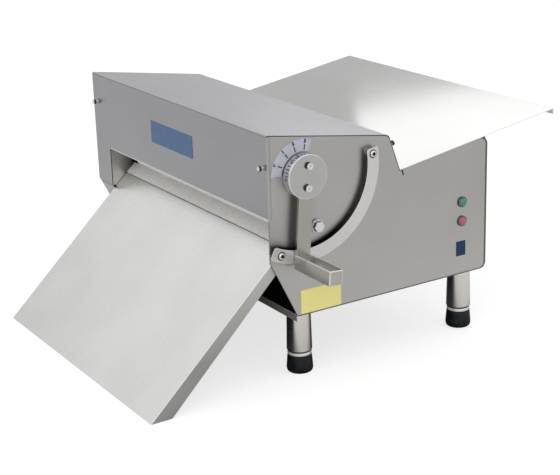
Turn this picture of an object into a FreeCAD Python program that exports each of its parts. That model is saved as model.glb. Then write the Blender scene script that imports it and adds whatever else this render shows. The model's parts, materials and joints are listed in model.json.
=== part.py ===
import FreeCAD, Part
import math
import os
import Sketcher

Vector = FreeCAD.Vector

# Driving sizes in millimetres and degrees.
# The model is laid out from the middle of the width, the front face and the floor:
# x to the operator's right, y from the front face to the rear, z up.
SIZES = {
    # sheet-metal body
    "body_width": 680.0,
    "side_plate": 4.0,
    "sheet": 1.5,
    "hood_over_hub": 79.5,
    "hood_depth": 257.0,
    "slope": 8.84,
    "flap_lean": 19.65,
    "panel_depth": 486.5,
    "panel_corner": 12.0,
    "chamfer_rise": 110.0,
    "chamfer_depth": 55.0,
    "mouth_over_axle": 27.1,
    "column_width": 62.0,
    "rear_corner": 13.0,
    "hood_corner": 10.0,
    "bend": 3.0,
    "pan_lip": 12.0,
    "hood_lip": 11.0,
    "feed_slot": 36.0,
    "hood_margin": 20.0,
    "hood_end_gap": 3.5,
    "slot_drop": 10.0,
    "slot_width": 2.5,
    "fit_gap": 0.5,
    "hole_gap": 0.1,
    "wide_gap": 1.0,
    "over_cut": 5.0,
    "inner_plate_short": 4.5,
    "vent_tall": 50.0,
    "vent_wide": 6.0,
    "vent_pitch": 16.0,
    "vent_inset": 110.0,
    "vent_low": 57.0,
    "vent_high": 129.0,
    "gland_inset": 100.0,
    "gland_rise": 32.0,
    "gland_bore": 3.5,
    "gland_thread": 8.0,
    "gland_nut_radius": 11.0,
    "gland_nut": 4.0,
    "gland_collar": 6.0,
    "gland_neck_radius": 8.5,
    "gland_neck": 8.0,
    "gland_nose_radius": 6.0,
    "gland_length": 20.0,
    # fasteners
    "bolt_radius": 6.0,
    "screw_radius": 2.5,
    "screw_inset": 15.0,
    "flap_screw_inset": 8.0,
    "screw_below_top": 60.0,
    "flap_screw_drop": 21.0,
    "tab_half_height": 9.0,
    "tab_thick": 2.0,
    "thumb_head": 8.5,
    "thumb_radius": 4.6,
    "thumb_edge": 1.2,
    "thumb_neck_radius": 3.0,
    "thumb_neck": 2.6,
    "thumb_shoulder": 1.0,
    "thumb_thread": 6.0,
    # infeed tray
    "tray_sheet": 2.0,
    "tray_depth": 652.0,
    "tray_hem": 12.0,
    "tray_below_nip": 5.07,
    "tongue_reach": 18.7,
    # discharge slide
    "slide_over_axle": 22.74,
    "slide_angle": 43.2,
    "slide_end_gap": 21.0,
    "rim_low": 28.5,
    "rim_high": 20.5,
    "rim_short": 18.0,
    "rim_corner": 9.0,
    "slide_sheet": 2.0,
    "slide_gap": 1.0,
    "slide_bend": 0.8,
    # rollers and their drive
    "axle_depth": 97.7,
    "axle_over_base": 161.9,
    "axle_lean": 106.1,
    "roller_radius": 44.45,
    "roller_left_gap": 14.0,
    "roller_wall": 8.0,
    "roller_edge": 1.0,
    "closed_gap": 1.0,
    "throw": 12.75,
    "boss_length": 3.0,
    "axle_radius": 12.0,
    "shoulder_radius": 17.0,
    "bush_radius": 16.0,
    "bush_length": 30.0,
    "running_gap": 0.05,
    "end_play": 0.5,
    "eccentric_web": 4.0,
    "housing_wall": 12.0,
    "housing_length": 13.0,
    "scraper_gap": 0.6,
    "scraper_thick": 3.0,
    "scraper_foot": 2.0,
    "scraper_tip_angle": 195.0,
    "scraper_heel_angle": 199.0,
    "cross_bar_radius": 6.0,
    "rear_bar_inset": 60.0,
    "rear_bar_drop": 24.0,
    "bolt_collar": 3.5,
    "bolt_collar_radius": 12.0,
    "bolt_head": 8.5,
    "bolt_flat": 9.0,
    "bolt_grip": 20.0,
    "tapped_depth": 25.0,
    "pitch_below_roller": 3.45,
    "motor_pitch": 30.0,
    "tension_pitch": 16.0,
    "belt_thick": 4.0,
    "belt_width": 18.0,
    "belt_gap": 0.3,
    "flange_rise": 3.0,
    "flange_thick": 2.0,
    "pulley_gap": 0.7,
    "sleeve_radius": 20.0,
    "motor_inset": 154.0,
    "motor_over_base": 82.0,
    "gearbox_half": 52.0,
    "gearbox_length": 96.0,
    "motor_radius": 56.0,
    "motor_length": 190.0,
    "fan_cover_radius": 60.0,
    "fan_cover_length": 48.0,
    "fan_cover_step": 4.0,
    "fan_cover_edge": 6.0,
    "bracket_half": 70.0,
    "bracket_foot": 5.0,
    "bracket_web": 6.0,
    "tension_behind_hub": 71.0,
    "tension_over_hub": 31.5,
    "tension_collar": 10.0,
    # gap lever, hub, dial and arc
    "hub_radius": 39.5,
    "hub_length": 18.2,
    "hub_gap": 0.8,
    "lever_width": 28.0,
    "lever_thick": 6.0,
    "lever_lean": 4.8,
    "lever_tail": 28.0,
    "cap_thick": 2.5,
    "cap_screw_reach": 19.5,
    "cap_screw_radius": 4.0,
    "cap_head_radius": 6.4,
    "cap_head": 5.4,
    "cap_head_edge": 0.6,
    "cap_socket_radius": 2.5,
    "cap_socket": 2.8,
    "handle_inner": 140.0,
    "handle_side": 27.2,
    "handle_length": 102.0,
    "handle_edge": 1.5,
    "arc_radius": 145.5,
    "arc_width": 24.2,
    "arc_thick": 3.0,
    "arc_corner": 4.5,
    "arc_standoff": 8.0,
    "arc_low": -118.5,
    "arc_high": 10.0,
    "arc_low_screw": -110.9,
    "arc_high_screw": 5.7,
    "arc_screw_tip": 3.0,
    "arc_head_radius": 6.0,
    "arc_head_wall": 1.2,
    "arc_head": 2.8,
    "arc_head_top": 4.0,
    "arc_socket_radius": 2.0,
    "spacer_radius": 9.0,
    "pad_gap": 0.3,
    "pad_inset": 2.0,
    "dial_gap": 2.0,
    "dial_width": 21.8,
    "dial_thick": 1.2,
    "dial_low": 70.0,
    "dial_high": 175.5,
    # legs
    "leg_inset": 50.0,
    "leg_front_inset": 33.0,
    "leg_rear_inset": 25.0,
    "leg_length": 94.0,
    "leg_top_radius": 21.8,
    "leg_low_radius": 23.6,
    "leg_stud_radius": 8.0,
    "leg_stud": 8.0,
    "leg_ring": 6.5,
    "leg_ring_depth": 1.2,
    "leg_groove": 1.6,
    "leg_groove_depth": 2.4,
    "leg_edge": 1.0,
    "foot_height": 35.0,
    "foot_radius": 24.8,
    # buttons
    "button_inset": 59.5,
    "start_over_base": 143.0,
    "button_pitch": 37.4,
    "bezel_radius": 10.2,
    "bezel_rise": 3.5,
    "barrel_radius": 9.0,
    "button_radius": 7.8,
    "button_rise": 3.6,
    "button_gap": 0.1,
    "bezel_edge": 1.0,
    "button_back": 6.0,
    "switch_box_half": 32.0,
    "switch_box_depth": 60.0,
    "switch_box_wall": 2.0,
    # bare plates
    "plate_thick": 0.6,
    "front_plate_inset": 343.0,
    "front_plate_width": 164.0,
    "front_plate_height": 43.0,
    "front_plate_drop": 75.5,
    "blue_plate_width": 22.0,
    "blue_plate_height": 29.0,
    "blue_plate_inset": 61.4,
    "blue_plate_rise": 51.3,
    "yellow_plate_width": 86.0,
    "yellow_plate_height": 45.0,
    "yellow_plate_behind": 50.0,
    "yellow_plate_rise": 25.0,
}


class Size:
    """A length or an angle that knows its number and its formula in the sheet."""

    def __init__(self, value, text):
        self.value = value
        self.text = text

    def __add__(self, other):
        other = size(other)
        return Size(self.value + other.value, "(%s + %s)" % (self.text, other.text))

    def __sub__(self, other):
        other = size(other)
        return Size(self.value - other.value, "(%s - %s)" % (self.text, other.text))

    def __mul__(self, other):
        other = size(other)
        return Size(self.value * other.value, "(%s * %s)" % (self.text, other.text))

    def __truediv__(self, other):
        other = size(other)
        return Size(self.value / other.value, "(%s / %s)" % (self.text, other.text))

    def __neg__(self):
        return Size(-self.value, "(0 - %s)" % self.text)

    def __radd__(self, other):
        return size(other) + self

    def __rsub__(self, other):
        return size(other) - self

    def __rmul__(self, other):
        return size(other) * self


def size(item):
    """A named size of the sheet, or a plain number, as a Size."""
    if isinstance(item, Size):
        return item
    if isinstance(item, str):
        return Size(SIZES[item], "sizes." + item)
    if item < 0:
        return Size(float(item), "(0 - %.6f)" % -item)
    return Size(float(item), "%.6f" % item)


def sine(angle):
    return Size(math.sin(math.radians(angle.value)), "sin(%s)" % angle.text)


def cosine(angle):
    return Size(math.cos(math.radians(angle.value)), "cos(%s)" % angle.text)


def tangent(angle):
    return Size(math.tan(math.radians(angle.value)), "tan(%s)" % angle.text)


def root(number):
    return Size(math.sqrt(number.value), "sqrt(%s)" % number.text)


def distance(start, end):
    across = end[0] - start[0]
    along = end[1] - start[1]
    return root(across * across + along * along)


document = FreeCAD.newDocument("fondant_sheeter")
sheet = document.addObject("Spreadsheet::Sheet", "sizes")
for row, (alias, number) in enumerate(SIZES.items(), start=1):
    sheet.set("A%d" % row, alias)
    sheet.set("B%d" % row, repr(number))
    sheet.setAlias("B%d" % row, alias)
document.recompute()

subparts = []

# Lines and places that several sub-parts share.
WIDTH = size("body_width")
RIGHT = WIDTH / 2
LEFT = -RIGHT
PLATE = size("side_plate")
SHEET = size("sheet")
INNER_RIGHT = RIGHT - PLATE
INNER_LEFT = LEFT + PLATE
COLUMN = LEFT + size("column_width")
FIT = size("fit_gap")
SLOPE = size("slope")
ANGLE = size("slide_angle")
BOTTOM = size("foot_height") + size("leg_length")
REAR = size("panel_depth")
ROLLER = size("roller_radius")
THROW = size("throw")
LOWER = (size("axle_depth"), BOTTOM + size("axle_over_base"))


def above_lower(reach):
    """The place at a reach from the lower axle, on the line towards the lever's hub."""
    lean = size("axle_lean")
    return LOWER[0] + reach * cosine(lean), LOWER[1] + reach * sine(lean)


NIP = above_lower(ROLLER)
UPPER = above_lower(2 * ROLLER + size("closed_gap"))
HUB = above_lower(2 * ROLLER + size("closed_gap") + THROW)
MOTOR = (REAR - size("motor_inset"), BOTTOM + size("motor_over_base"))
TENSION = (HUB[0] + size("tension_behind_hub"), HUB[1] + size("tension_over_hub"))
ECCENTRIC = THROW + size("axle_radius") + size("eccentric_web")
PITCH = ROLLER - size("pitch_below_roller")
ROLLER_LEFT = COLUMN + size("roller_left_gap")
ROLLER_RIGHT = INNER_RIGHT - size("housing_length") - size("boss_length")
HOOD_TOP = HUB[1] + size("hood_over_hub")
MOUTH = LOWER[1] + size("mouth_over_axle")
CHAMFER = BOTTOM + size("chamfer_rise")
ARC_FACE = size("arc_standoff") + size("arc_thick")
LEVER_BACK = size("hub_gap") + size("hub_length") - size("lever_thick")
LEVER_FACE = size("hub_gap") + size("hub_length")
HANDLE_END = LEVER_FACE + size("handle_length")
HANDLE_OUTER = size("handle_inner") + size("handle_side")
SLIDE_REACH = (LOWER[1] * cosine(ANGLE) + size("slide_over_axle")) / sine(ANGLE) - LOWER[0]
ENTRY = LOWER[0] - ROLLER - size("slide_end_gap")
BOLT_OUT = size("bolt_collar") + size("bolt_head")
CENTRE_X = (HANDLE_END - BOLT_OUT) / 2
CENTRE_Y = (size("tray_depth") - SLIDE_REACH) / 2
PULLEY_LEFT = INNER_LEFT + size("housing_length") + size("pulley_gap")
BELT_LEFT = PULLEY_LEFT + size("flange_thick") + size("belt_gap")
BELT_RIGHT = BELT_LEFT + size("belt_width")


def hood_top(depth):
    """Height of the hood's upper face at a depth behind the front face."""
    return HOOD_TOP - depth * tangent(SLOPE)


def tray_under(depth):
    """Height of the tray's lower face, which lies on the side panels."""
    return NIP[1] - size("tray_below_nip") + (depth - NIP[0]) * tangent(SLOPE)


# The notch is where the hood's rear flap would meet the tray's lower face.
LEAN = size("flap_lean")
FLAP_TOP = (size("hood_depth"), hood_top(size("hood_depth")))
FLAP_DROP = (FLAP_TOP[1] - tray_under(FLAP_TOP[0])) / (1 + tangent(SLOPE) * tangent(LEAN))
NOTCH = (FLAP_TOP[0] + FLAP_DROP * tangent(LEAN), FLAP_TOP[1] - FLAP_DROP)


def slide_top(depth):
    """Height of the slide's upper face."""
    return (depth + SLIDE_REACH) * tangent(ANGLE)


def place(part, x=0, y=0, z=0, turn=None, axis=None):
    """Put a sub-part at x, y, z of the layout, with the origin under the middle of the whole."""
    if turn is not None:
        part.Placement = FreeCAD.Placement(Vector(0, 0, 0), FreeCAD.Rotation(axis, turn.value))
        part.setExpression("Placement.Rotation.Angle", turn.text)
    part.setExpression("Placement.Base.x", (x - CENTRE_X).text)
    part.setExpression("Placement.Base.y", (y - CENTRE_Y).text)
    part.setExpression("Placement.Base.z", size(z).text)


def keep(part, label):
    """Give a sub-part the name of its file."""
    part.Label = label
    subparts.append(part)
    return part


def new_body(label, kept=True):
    body = document.addObject("PartDesign::Body", "body_" + label)
    body.AllowCompound = True
    if kept:
        keep(body, label)
    return body


def sketch_on(body, role, offset=0):
    """A sketch on one of the body's own planes, moved along the plane's normal."""
    sketch = body.newObject("Sketcher::SketchObject", "sketch")
    plane = [item for item in body.Origin.OriginFeatures if item.Role == role][0]
    sketch.AttachmentSupport = [(plane, "")]
    sketch.MapMode = "FlatFace"
    sketch.setExpression("AttachmentOffset.Base.z", size(offset).text)
    return sketch


def pin(sketch, item, point, place_at):
    """Fix a point of the sketch at two coordinates, both bound to the sheet."""
    for kind, coordinate in zip(("DistanceX", "DistanceY"), place_at):
        coordinate = size(coordinate)
        rule = Sketcher.Constraint(kind, -1, 1, item, point, coordinate.value)
        index = sketch.addConstraint(rule)
        sketch.setExpression("Constraints[%d]" % index, coordinate.text)


def outline(sketch, corners):
    """A closed outline of straight lines through the corners."""
    spots = [Vector(size(u).value, size(v).value, 0) for u, v in corners]
    first = sketch.GeometryCount
    count = len(spots)
    for index in range(count):
        line = Part.LineSegment(spots[index], spots[(index + 1) % count])
        sketch.addGeometry(line)
    for index in range(count):
        after = first + (index + 1) % count
        sketch.addConstraint(Sketcher.Constraint("Coincident", first + index, 2, after, 1))
    for index, corner in enumerate(corners):
        pin(sketch, first + index, 1, corner)


def round_hole(sketch, u, v, radius):
    """A full circle in the sketch."""
    u, v, radius = size(u), size(v), size(radius)
    circle = Part.Circle(Vector(u.value, v.value, 0), Vector(0, 0, 1), radius.value)
    item = sketch.addGeometry(circle)
    pin(sketch, item, 3, (u, v))
    index = sketch.addConstraint(Sketcher.Constraint("Radius", item, radius.value))
    sketch.setExpression("Constraints[%d]" % index, radius.text)


def pad(body, sketch, length):
    feature = body.newObject("PartDesign::Pad", "pad")
    feature.Profile = sketch
    feature.setExpression("Length", size(length).text)
    body.Tip = feature
    return feature


def cut(body, sketch, depth, turned_over=False):
    """Pocket the sketch, against its normal unless turned over."""
    feature = body.newObject("PartDesign::Pocket", "pocket")
    feature.Profile = sketch
    feature.Reversed = turned_over
    feature.setExpression("Length", size(depth).text)
    body.Tip = feature
    sketch.Visibility = False


PLANES = {"side": "YZ_Plane", "level": "XY_Plane", "front": "XZ_Plane"}


def slab(body, plane, corners, start, end, holes=()):
    """Pad an outline from start to end along x (side), z (level) or y (front)."""
    start, end = size(start), size(end)
    offset = -end if plane == "front" else start
    sketch = sketch_on(body, PLANES[plane], offset)
    if corners:
        outline(sketch, corners)
    for u, v, radius in holes:
        round_hole(sketch, u, v, radius)
    pad(body, sketch, end - start)
    sketch.Visibility = False


def revolve(body, corners, role, axis):
    sketch = sketch_on(body, role)
    outline(sketch, corners)
    feature = body.newObject("PartDesign::Revolution", "revolution")
    feature.Profile = sketch
    feature.ReferenceAxis = (sketch, [axis])
    feature.Angle = 360
    body.Tip = feature


def turned(label, corners, centre, kept=True):
    """A turned piece: corners are (x, radius) pairs, about a line along x through the centre."""
    body = new_body(label, kept)
    revolve(body, corners, "XY_Plane", "H_Axis")
    place(body, 0, centre[0], centre[1])
    return body


def standing(label, corners, x, y):
    """A turned piece on an upright line: corners are (radius, z) pairs."""
    body = new_body(label)
    revolve(body, corners, "XZ_Plane", "V_Axis")
    place(body, x, y)
    return body


def tube(start, end, outer, inner):
    """Corners of a plain ring from start to end."""
    return [(start, inner), (start, outer), (end, outer), (end, inner)]


def inset(line, thick):
    """A copy of the line, one thickness to its right, with the corners mitred."""
    normals = []
    for start, end in zip(line, line[1:]):
        length = distance(start, end)
        normals.append(((end[1] - start[1]) / length, (start[0] - end[0]) / length))
    inner = []
    for index, (u, v) in enumerate(line):
        before = normals[max(index - 1, 0)]
        after = normals[min(index, len(normals) - 1)]
        share = thick / (1 + before[0] * after[0] + before[1] * after[1])
        inner.append((u + share * (before[0] + after[0]), v + share * (before[1] + after[1])))
    return inner


def strip(line, thick):
    """Closed outline of a bent sheet: the given line and its copy one thickness to the right."""
    return list(line) + inset(line, thick)[::-1]


def soften(body, radius, chosen):
    """Round the chosen edges of the body's last feature."""
    document.recompute()
    last = body.Tip
    names = ["Edge%d" % (i + 1) for i, edge in enumerate(last.Shape.Edges) if chosen(edge)]
    feature = body.newObject("PartDesign::Fillet", "fillet")
    feature.Base = (last, names)
    feature.setExpression("Radius", size(radius).text)
    body.Tip = feature


def edge_through(*spots):
    """Chooses the straight edges along x whose ends lie at one of the (y, z) spots."""
    values = [(size(u).value, size(v).value) for u, v in spots]

    def chosen(edge):
        ends = [vertex.Point for vertex in edge.Vertexes]
        if len(ends) != 2 or abs(ends[0].x - ends[1].x) < 0.1:
            return False
        return any(all(math.hypot(end.y - u, end.z - v) < 0.05 for end in ends) for u, v in values)
    return chosen


def rod(label, start, end, centre, radius, kept=True):
    """A plain cylinder along x."""
    part = document.addObject("Part::Cylinder", "rod_" + label)
    start, end = size(start), size(end)
    part.setExpression("Radius", size(radius).text)
    part.setExpression("Height", (end - start).text)
    part.Placement = FreeCAD.Placement(Vector(0, 0, 0), FreeCAD.Rotation(Vector(0, 1, 0), 90))
    part.setExpression("Placement.Base.x", (start - CENTRE_X).text)
    part.setExpression("Placement.Base.y", (centre[0] - CENTRE_Y).text)
    part.setExpression("Placement.Base.z", size(centre[1]).text)
    if kept:
        keep(part, label)
    return part


def group(label, source, spots, turns=None):
    """One node of equal pieces: copies of the source moved to each (x, y, z).

    A copy with a turn is first turned by that angle about x.
    """
    copies = []
    for index, (x, y, z) in enumerate(spots):
        copy = document.addObject("App::Link", "%s_%d" % (label, index + 1))
        copy.LinkedObject = source
        if turns is not None:
            turn = FreeCAD.Rotation(Vector(1, 0, 0), turns[index].value)
            copy.Placement = FreeCAD.Placement(Vector(0, 0, 0), turn)
            copy.setExpression("Placement.Rotation.Angle", turns[index].text)
        copy.setExpression("Placement.Base.x", (x - CENTRE_X).text)
        copy.setExpression("Placement.Base.y", (y - CENTRE_Y).text)
        copy.setExpression("Placement.Base.z", size(z).text)
        copies.append(copy)
    whole = document.addObject("Part::Compound", "group_" + label)
    whole.Links = copies
    return keep(whole, label)


def sector(label, inner, outer, start, end, low, high, holes=(), corner=None):
    """A flat ring sector about the hub's axis, with round holes given as (radius, angle, hole).

    Where a corner radius is given, its four corners are rounded.
    """
    low, high = size(low), size(high)
    turn = FreeCAD.Rotation(Vector(0, 1, 0), Vector(0, 0, 1), Vector(1, 0, 0), "XYZ")
    turn = FreeCAD.Rotation(Vector(1, 0, 0), low.value).multiply(turn)
    drums = []
    for name, radius in (("outer", outer), ("inner", inner)):
        drum = document.addObject("Part::Cylinder", "%s_%s" % (label, name))
        drum.setExpression("Radius", size(radius).text)
        drum.setExpression("Height", (size(end) - size(start)).text)
        drum.setExpression("Angle", (high - low).text)
        drum.Placement = FreeCAD.Placement(Vector(0, 0, 0), turn)
        drum.setExpression("Placement.Base.x", (size(start) - CENTRE_X).text)
        drum.setExpression("Placement.Base.y", (HUB[0] - CENTRE_Y).text)
        drum.setExpression("Placement.Base.z", HUB[1].text)
        drums.append(drum)
    ring = document.addObject("Part::Cut", "ring_" + label)
    ring.Base, ring.Tool = drums
    if corner is not None:
        ring = rounded_corners(ring, label, size(corner).value)
    for index, (reach, angle, radius) in enumerate(holes):
        spot = around_hub(reach, angle)
        drill = rod("%s_drill_%d" % (label, index), start, end, spot, radius, kept=False)
        bored = document.addObject("Part::Cut", "%s_bored_%d" % (label, index))
        bored.Base, bored.Tool = ring, drill
        ring = bored
    return keep(ring, label)


def rounded_corners(ring, label, radius):
    """The ring sector with its four straight edges along x rounded."""
    document.recompute()
    fillet = document.addObject("Part::Fillet", "rounded_" + label)
    fillet.Base = ring
    fillet.Edges = [(index + 1, radius, radius) for index, edge in enumerate(ring.Shape.Edges)
                    if edge.BoundBox.YLength + edge.BoundBox.ZLength < 0.01]
    return fillet


def around_hub(reach, angle):
    """The (y, z) place at a reach and an angle from the hub's axis."""
    reach, angle = size(reach), size(angle)
    return HUB[0] + reach * cosine(angle), HUB[1] + reach * sine(angle)


# Fastener and hole sizes that several sub-parts share.
BOLT = size("bolt_radius")
SCREW = size("screw_radius")
CAP_SCREW = size("cap_screw_radius")
HOLE_GAP = size("hole_gap")
WIDE_GAP = size("wide_gap")
BUTTON_DEPTH = REAR - size("button_inset")
START_HEIGHT = BOTTOM + size("start_over_base")
BUTTON_HEIGHTS = {"start": START_HEIGHT, "stop": START_HEIGHT - size("button_pitch")}


def side_outline(front, base, drop):
    """Outline of a side plate in (y, z), let down under the hood and the tray by drop."""
    thick = SHEET + drop
    skin = inset([(size(0), BOTTOM), (size(0), HOOD_TOP), FLAP_TOP, NOTCH], thick)
    slide_in = thick / cosine(LEAN - SLOPE) + drop * tangent(LEAN)
    notch = NOTCH[0] - slide_in * cosine(SLOPE)
    level = drop / cosine(SLOPE)
    return [(front, CHAMFER),
            (front, hood_top(front) - thick / cosine(SLOPE)),
            skin[2],
            (notch, tray_under(notch) - level),
            (REAR, tray_under(REAR) - level),
            (REAR, base),
            (size("chamfer_depth"), base)]


def relief_slot():
    """Corners of the narrow slot below the notch, listed from front to rear."""
    drop, wide = size("slot_drop"), size("slot_width")
    low = NOTCH[1] - drop
    near = NOTCH[0] + wide
    far = near + wide
    lean = drop * tangent(LEAN)
    return [(near, tray_under(near)), (near + lean, low), (far + lean, low), (far, tray_under(far))]


def side_panels():
    """The two outer side plates, with the gap lever's hole in the right one only."""
    corners = side_outline(SHEET, BOTTOM, size(0))
    corners = corners[:4] + relief_slot() + corners[4:]
    axle_hole = (LOWER[0], LOWER[1], BOLT + HOLE_GAP)
    right_holes = [axle_hole, (HUB[0], HUB[1], ECCENTRIC + WIDE_GAP)]
    for height in BUTTON_HEIGHTS.values():
        right_holes.append((BUTTON_DEPTH, height, size("barrel_radius") + HOLE_GAP))
    for angle in ("arc_low_screw", "arc_high_screw"):
        spot = around_hub("arc_radius", angle)
        right_holes.append((spot[0], spot[1], SCREW + HOLE_GAP))
    for label, start, end, holes in (("right_side_panel", INNER_RIGHT, RIGHT, right_holes),
                                     ("left_side_panel", LEFT, INNER_LEFT, [axle_hole])):
        body = new_body(label)
        place(body)
        slab(body, "side", corners, start, end, holes)
        soften(body, "rear_corner", edge_through(corners[8], corners[9]))
        soften(body, "panel_corner", edge_through(corners[2]))


def inner_plate():
    """The plate between the drive compartment and the rollers."""
    body = new_body("inner_side_plate")
    place(body)
    front = SHEET + FIT
    corners = side_outline(front, BOTTOM + SHEET, SHEET + FIT)
    short = size("inner_plate_short")
    back = REAR - short
    corners[4] = (back, tray_under(back) - SHEET)
    corners[5] = (back, BOTTOM + SHEET)
    corners[6] = (corners[6][0] + short, BOTTOM + SHEET)
    corners[0] = (front + short, CHAMFER)
    corners.insert(1, (front, CHAMFER))
    sleeve = size("sleeve_radius")
    holes = [(HUB[0], HUB[1], THROW + sleeve + 2 * WIDE_GAP),
             (LOWER[0], LOWER[1], sleeve + WIDE_GAP),
             (MOTOR[0], MOTOR[1], size("axle_radius") + WIDE_GAP),
             (TENSION[0], TENSION[1], BOLT + HOLE_GAP)]
    slab(body, "side", corners, COLUMN - PLATE, COLUMN, holes)


def base_pan():
    """The bottom plate of the body, with a lip turned down in front and one turned up behind."""
    body = new_body("base_pan")
    place(body)
    front = size("chamfer_depth")
    spots = [(x, y, size("leg_stud_radius") + HOLE_GAP) for x, y in leg_spots()]
    corners = [(INNER_LEFT, front), (INNER_RIGHT, front), (INNER_RIGHT, REAR), (INNER_LEFT, REAR)]
    slab(body, "level", corners, BOTTOM, BOTTOM + SHEET, spots)
    drop = size("pan_lip")
    for start, low, high in ((front, BOTTOM - drop, BOTTOM),
                             (REAR - SHEET, BOTTOM + SHEET, BOTTOM + drop)):
        lip = [(start, low), (start + SHEET, low), (start + SHEET, high), (start, high)]
        slab(body, "side", lip, INNER_LEFT, INNER_RIGHT)


VENTS = 12


def rear_panel():
    """The back sheet, with rows of cooling slots behind the motor and a hole for the gland."""
    body = new_body("rear_panel")
    place(body)
    face = REAR - SHEET
    low = BOTTOM + SHEET
    high = tray_under(face - SHEET)
    sketch = sketch_on(body, "XZ_Plane", -face)
    outline(sketch, [(INNER_LEFT, low), (INNER_RIGHT, low), (INNER_RIGHT, high), (INNER_LEFT, high)])
    slot_tall, slot_wide = size("vent_tall"), size("vent_wide")
    for row_height in (BOTTOM + size("vent_low"), BOTTOM + size("vent_high")):
        for number in range(VENTS):
            u = INNER_LEFT + size("vent_inset") + number * size("vent_pitch")
            outline(sketch, [(u, row_height), (u + slot_wide, row_height),
                             (u + slot_wide, row_height + slot_tall), (u, row_height + slot_tall)])
    round_hole(sketch, GLAND[0], GLAND[1], size("gland_thread") + HOLE_GAP)
    pad(body, sketch, SHEET)


def flap_spot(rise):
    """The place on the hood's rear flap at a rise above the notch."""
    return NOTCH[0] - rise * tangent(LEAN), NOTCH[1] + rise


SCREW_SPOTS = (RIGHT - size("screw_inset"), LEFT + size("screw_inset"))
FLAP_SCREW_SPOTS = (RIGHT - size("flap_screw_inset"), LEFT + size("flap_screw_inset"))
SCREW_HEIGHT = HOOD_TOP - size("screw_below_top")
FLAP_SCREW_RISE = FLAP_DROP - size("flap_screw_drop")


def flap_sketch(body):
    """A sketch that lies on the flap, and the height in it of the flap's screws."""
    spot = flap_spot(FLAP_SCREW_RISE)
    reach = spot[0] * cosine(LEAN) + spot[1] * sine(LEAN)
    sketch = sketch_on(body, "XZ_Plane", -(reach * cosine(LEAN)))
    sketch.AttachmentOffset = FreeCAD.Placement(
        Vector(0, 0, 0), FreeCAD.Rotation(Vector(1, 0, 0), LEAN.value))
    sketch.setExpression("AttachmentOffset.Rotation.Angle", LEAN.text)
    sketch.setExpression("AttachmentOffset.Base.y", (reach * sine(LEAN)).text)
    return sketch, spot[1] * cosine(LEAN) - spot[0] * sine(LEAN)


def hood():
    """The lift-off hood: front face with the left column strip, sloping top and rear flap."""
    body = new_body("hood")
    place(body)

    def hood_line(low, rise):
        return [(size(0), low), (size(0), HOOD_TOP), FLAP_TOP, flap_spot(rise)]

    margin = RIGHT - size("hood_margin")
    end_rise = size("hood_end_gap")
    lip_line = [(size("hood_lip"), MOUTH)] + hood_line(MOUTH, size("feed_slot"))
    column_line = strip(hood_line(CHAMFER, end_rise), SHEET)
    slab(body, "side", column_line, LEFT, COLUMN)
    slab(body, "side", strip(lip_line, SHEET), COLUMN, margin)
    slab(body, "side", strip(hood_line(MOUTH, end_rise), SHEET), margin, RIGHT)
    soften(body, "bend", edge_through((0, HOOD_TOP)))
    soften(body, "hood_corner", edge_through(FLAP_TOP))
    soften(body, size("hood_corner") - SHEET, edge_through(column_line[5]))
    front = sketch_on(body, "XZ_Plane")
    rear, flap_height = flap_sketch(body)
    for sketch, spots, height, turned_over in ((front, SCREW_SPOTS, SCREW_HEIGHT, False),
                                               (rear, FLAP_SCREW_SPOTS, flap_height, True)):
        for x in spots:
            round_hole(sketch, x, height, SCREW + HOLE_GAP)
        cut(body, sketch, 2 * SHEET, turned_over)


def belt_guard():
    """The sloping sheet that closes the drive compartment below the front strip."""
    body = new_body("belt_guard")
    place(body)
    rise = size("chamfer_rise")

    def spot(height):
        return size("chamfer_depth") * (rise - height) / rise, BOTTOM + height

    line = [spot(2 * SHEET), spot(rise - SHEET)]
    slab(body, "side", strip(line, SHEET), INNER_LEFT, COLUMN)


def infeed_tray():
    """The sloping tray: full width behind the hood, with a tongue that runs in to the rollers."""
    body = new_body("infeed_tray")
    place(body)
    thick = size("tray_sheet")
    skin = thick / cosine(SLOPE)

    def top(depth):
        return depth, tray_under(depth) + skin

    wide = NOTCH[0] + FIT
    rear = size("tray_depth")
    tongue = LOWER[0] + size("tongue_reach")
    hem_top = tray_under(rear) + skin
    wide_line = [top(wide), (rear, hem_top), (rear, hem_top - size("tray_hem"))]
    slab(body, "side", strip(wide_line, thick), LEFT, RIGHT)
    slab(body, "side", strip([top(tongue), top(wide)], thick), COLUMN + FIT, INNER_RIGHT - FIT)
    soften(body, "bend", edge_through((rear, hem_top)))


def slide_spot(depth, below):
    """A place below the slide's upper face, measured square to the slope."""
    return depth + below * sine(ANGLE), slide_top(depth) - below * cosine(ANGLE)


def discharge_slide():
    """The sloping channel under the rollers, with down-turned rims cut flat on the table."""
    body = new_body("discharge_slide")
    place(body)
    gap, thick = size("slide_gap"), size("slide_sheet")
    left, right = COLUMN + gap, INNER_RIGHT - gap
    tip = (-SLIDE_REACH, size(0))
    web = [tip, slide_spot(ENTRY, size(0)), slide_spot(ENTRY, thick),
           (thick / sine(ANGLE) - SLIDE_REACH, size(0))]
    rim_end = ENTRY - size("rim_short")
    rim = [tip, slide_spot(rim_end, size(0)), slide_spot(rim_end, size("rim_high")),
           (size("rim_low") / sine(ANGLE) - SLIDE_REACH, size(0))]
    slab(body, "side", web, left, right)
    slab(body, "side", rim, left, left + thick)
    slab(body, "side", rim, right - thick, right)
    soften(body, "rim_corner", edge_through(rim[3]))
    soften(body, "slide_bend", lambda edge: lies_on(edge, tip, slide_spot(rim_end, size(0)), (left, right)))


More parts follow.
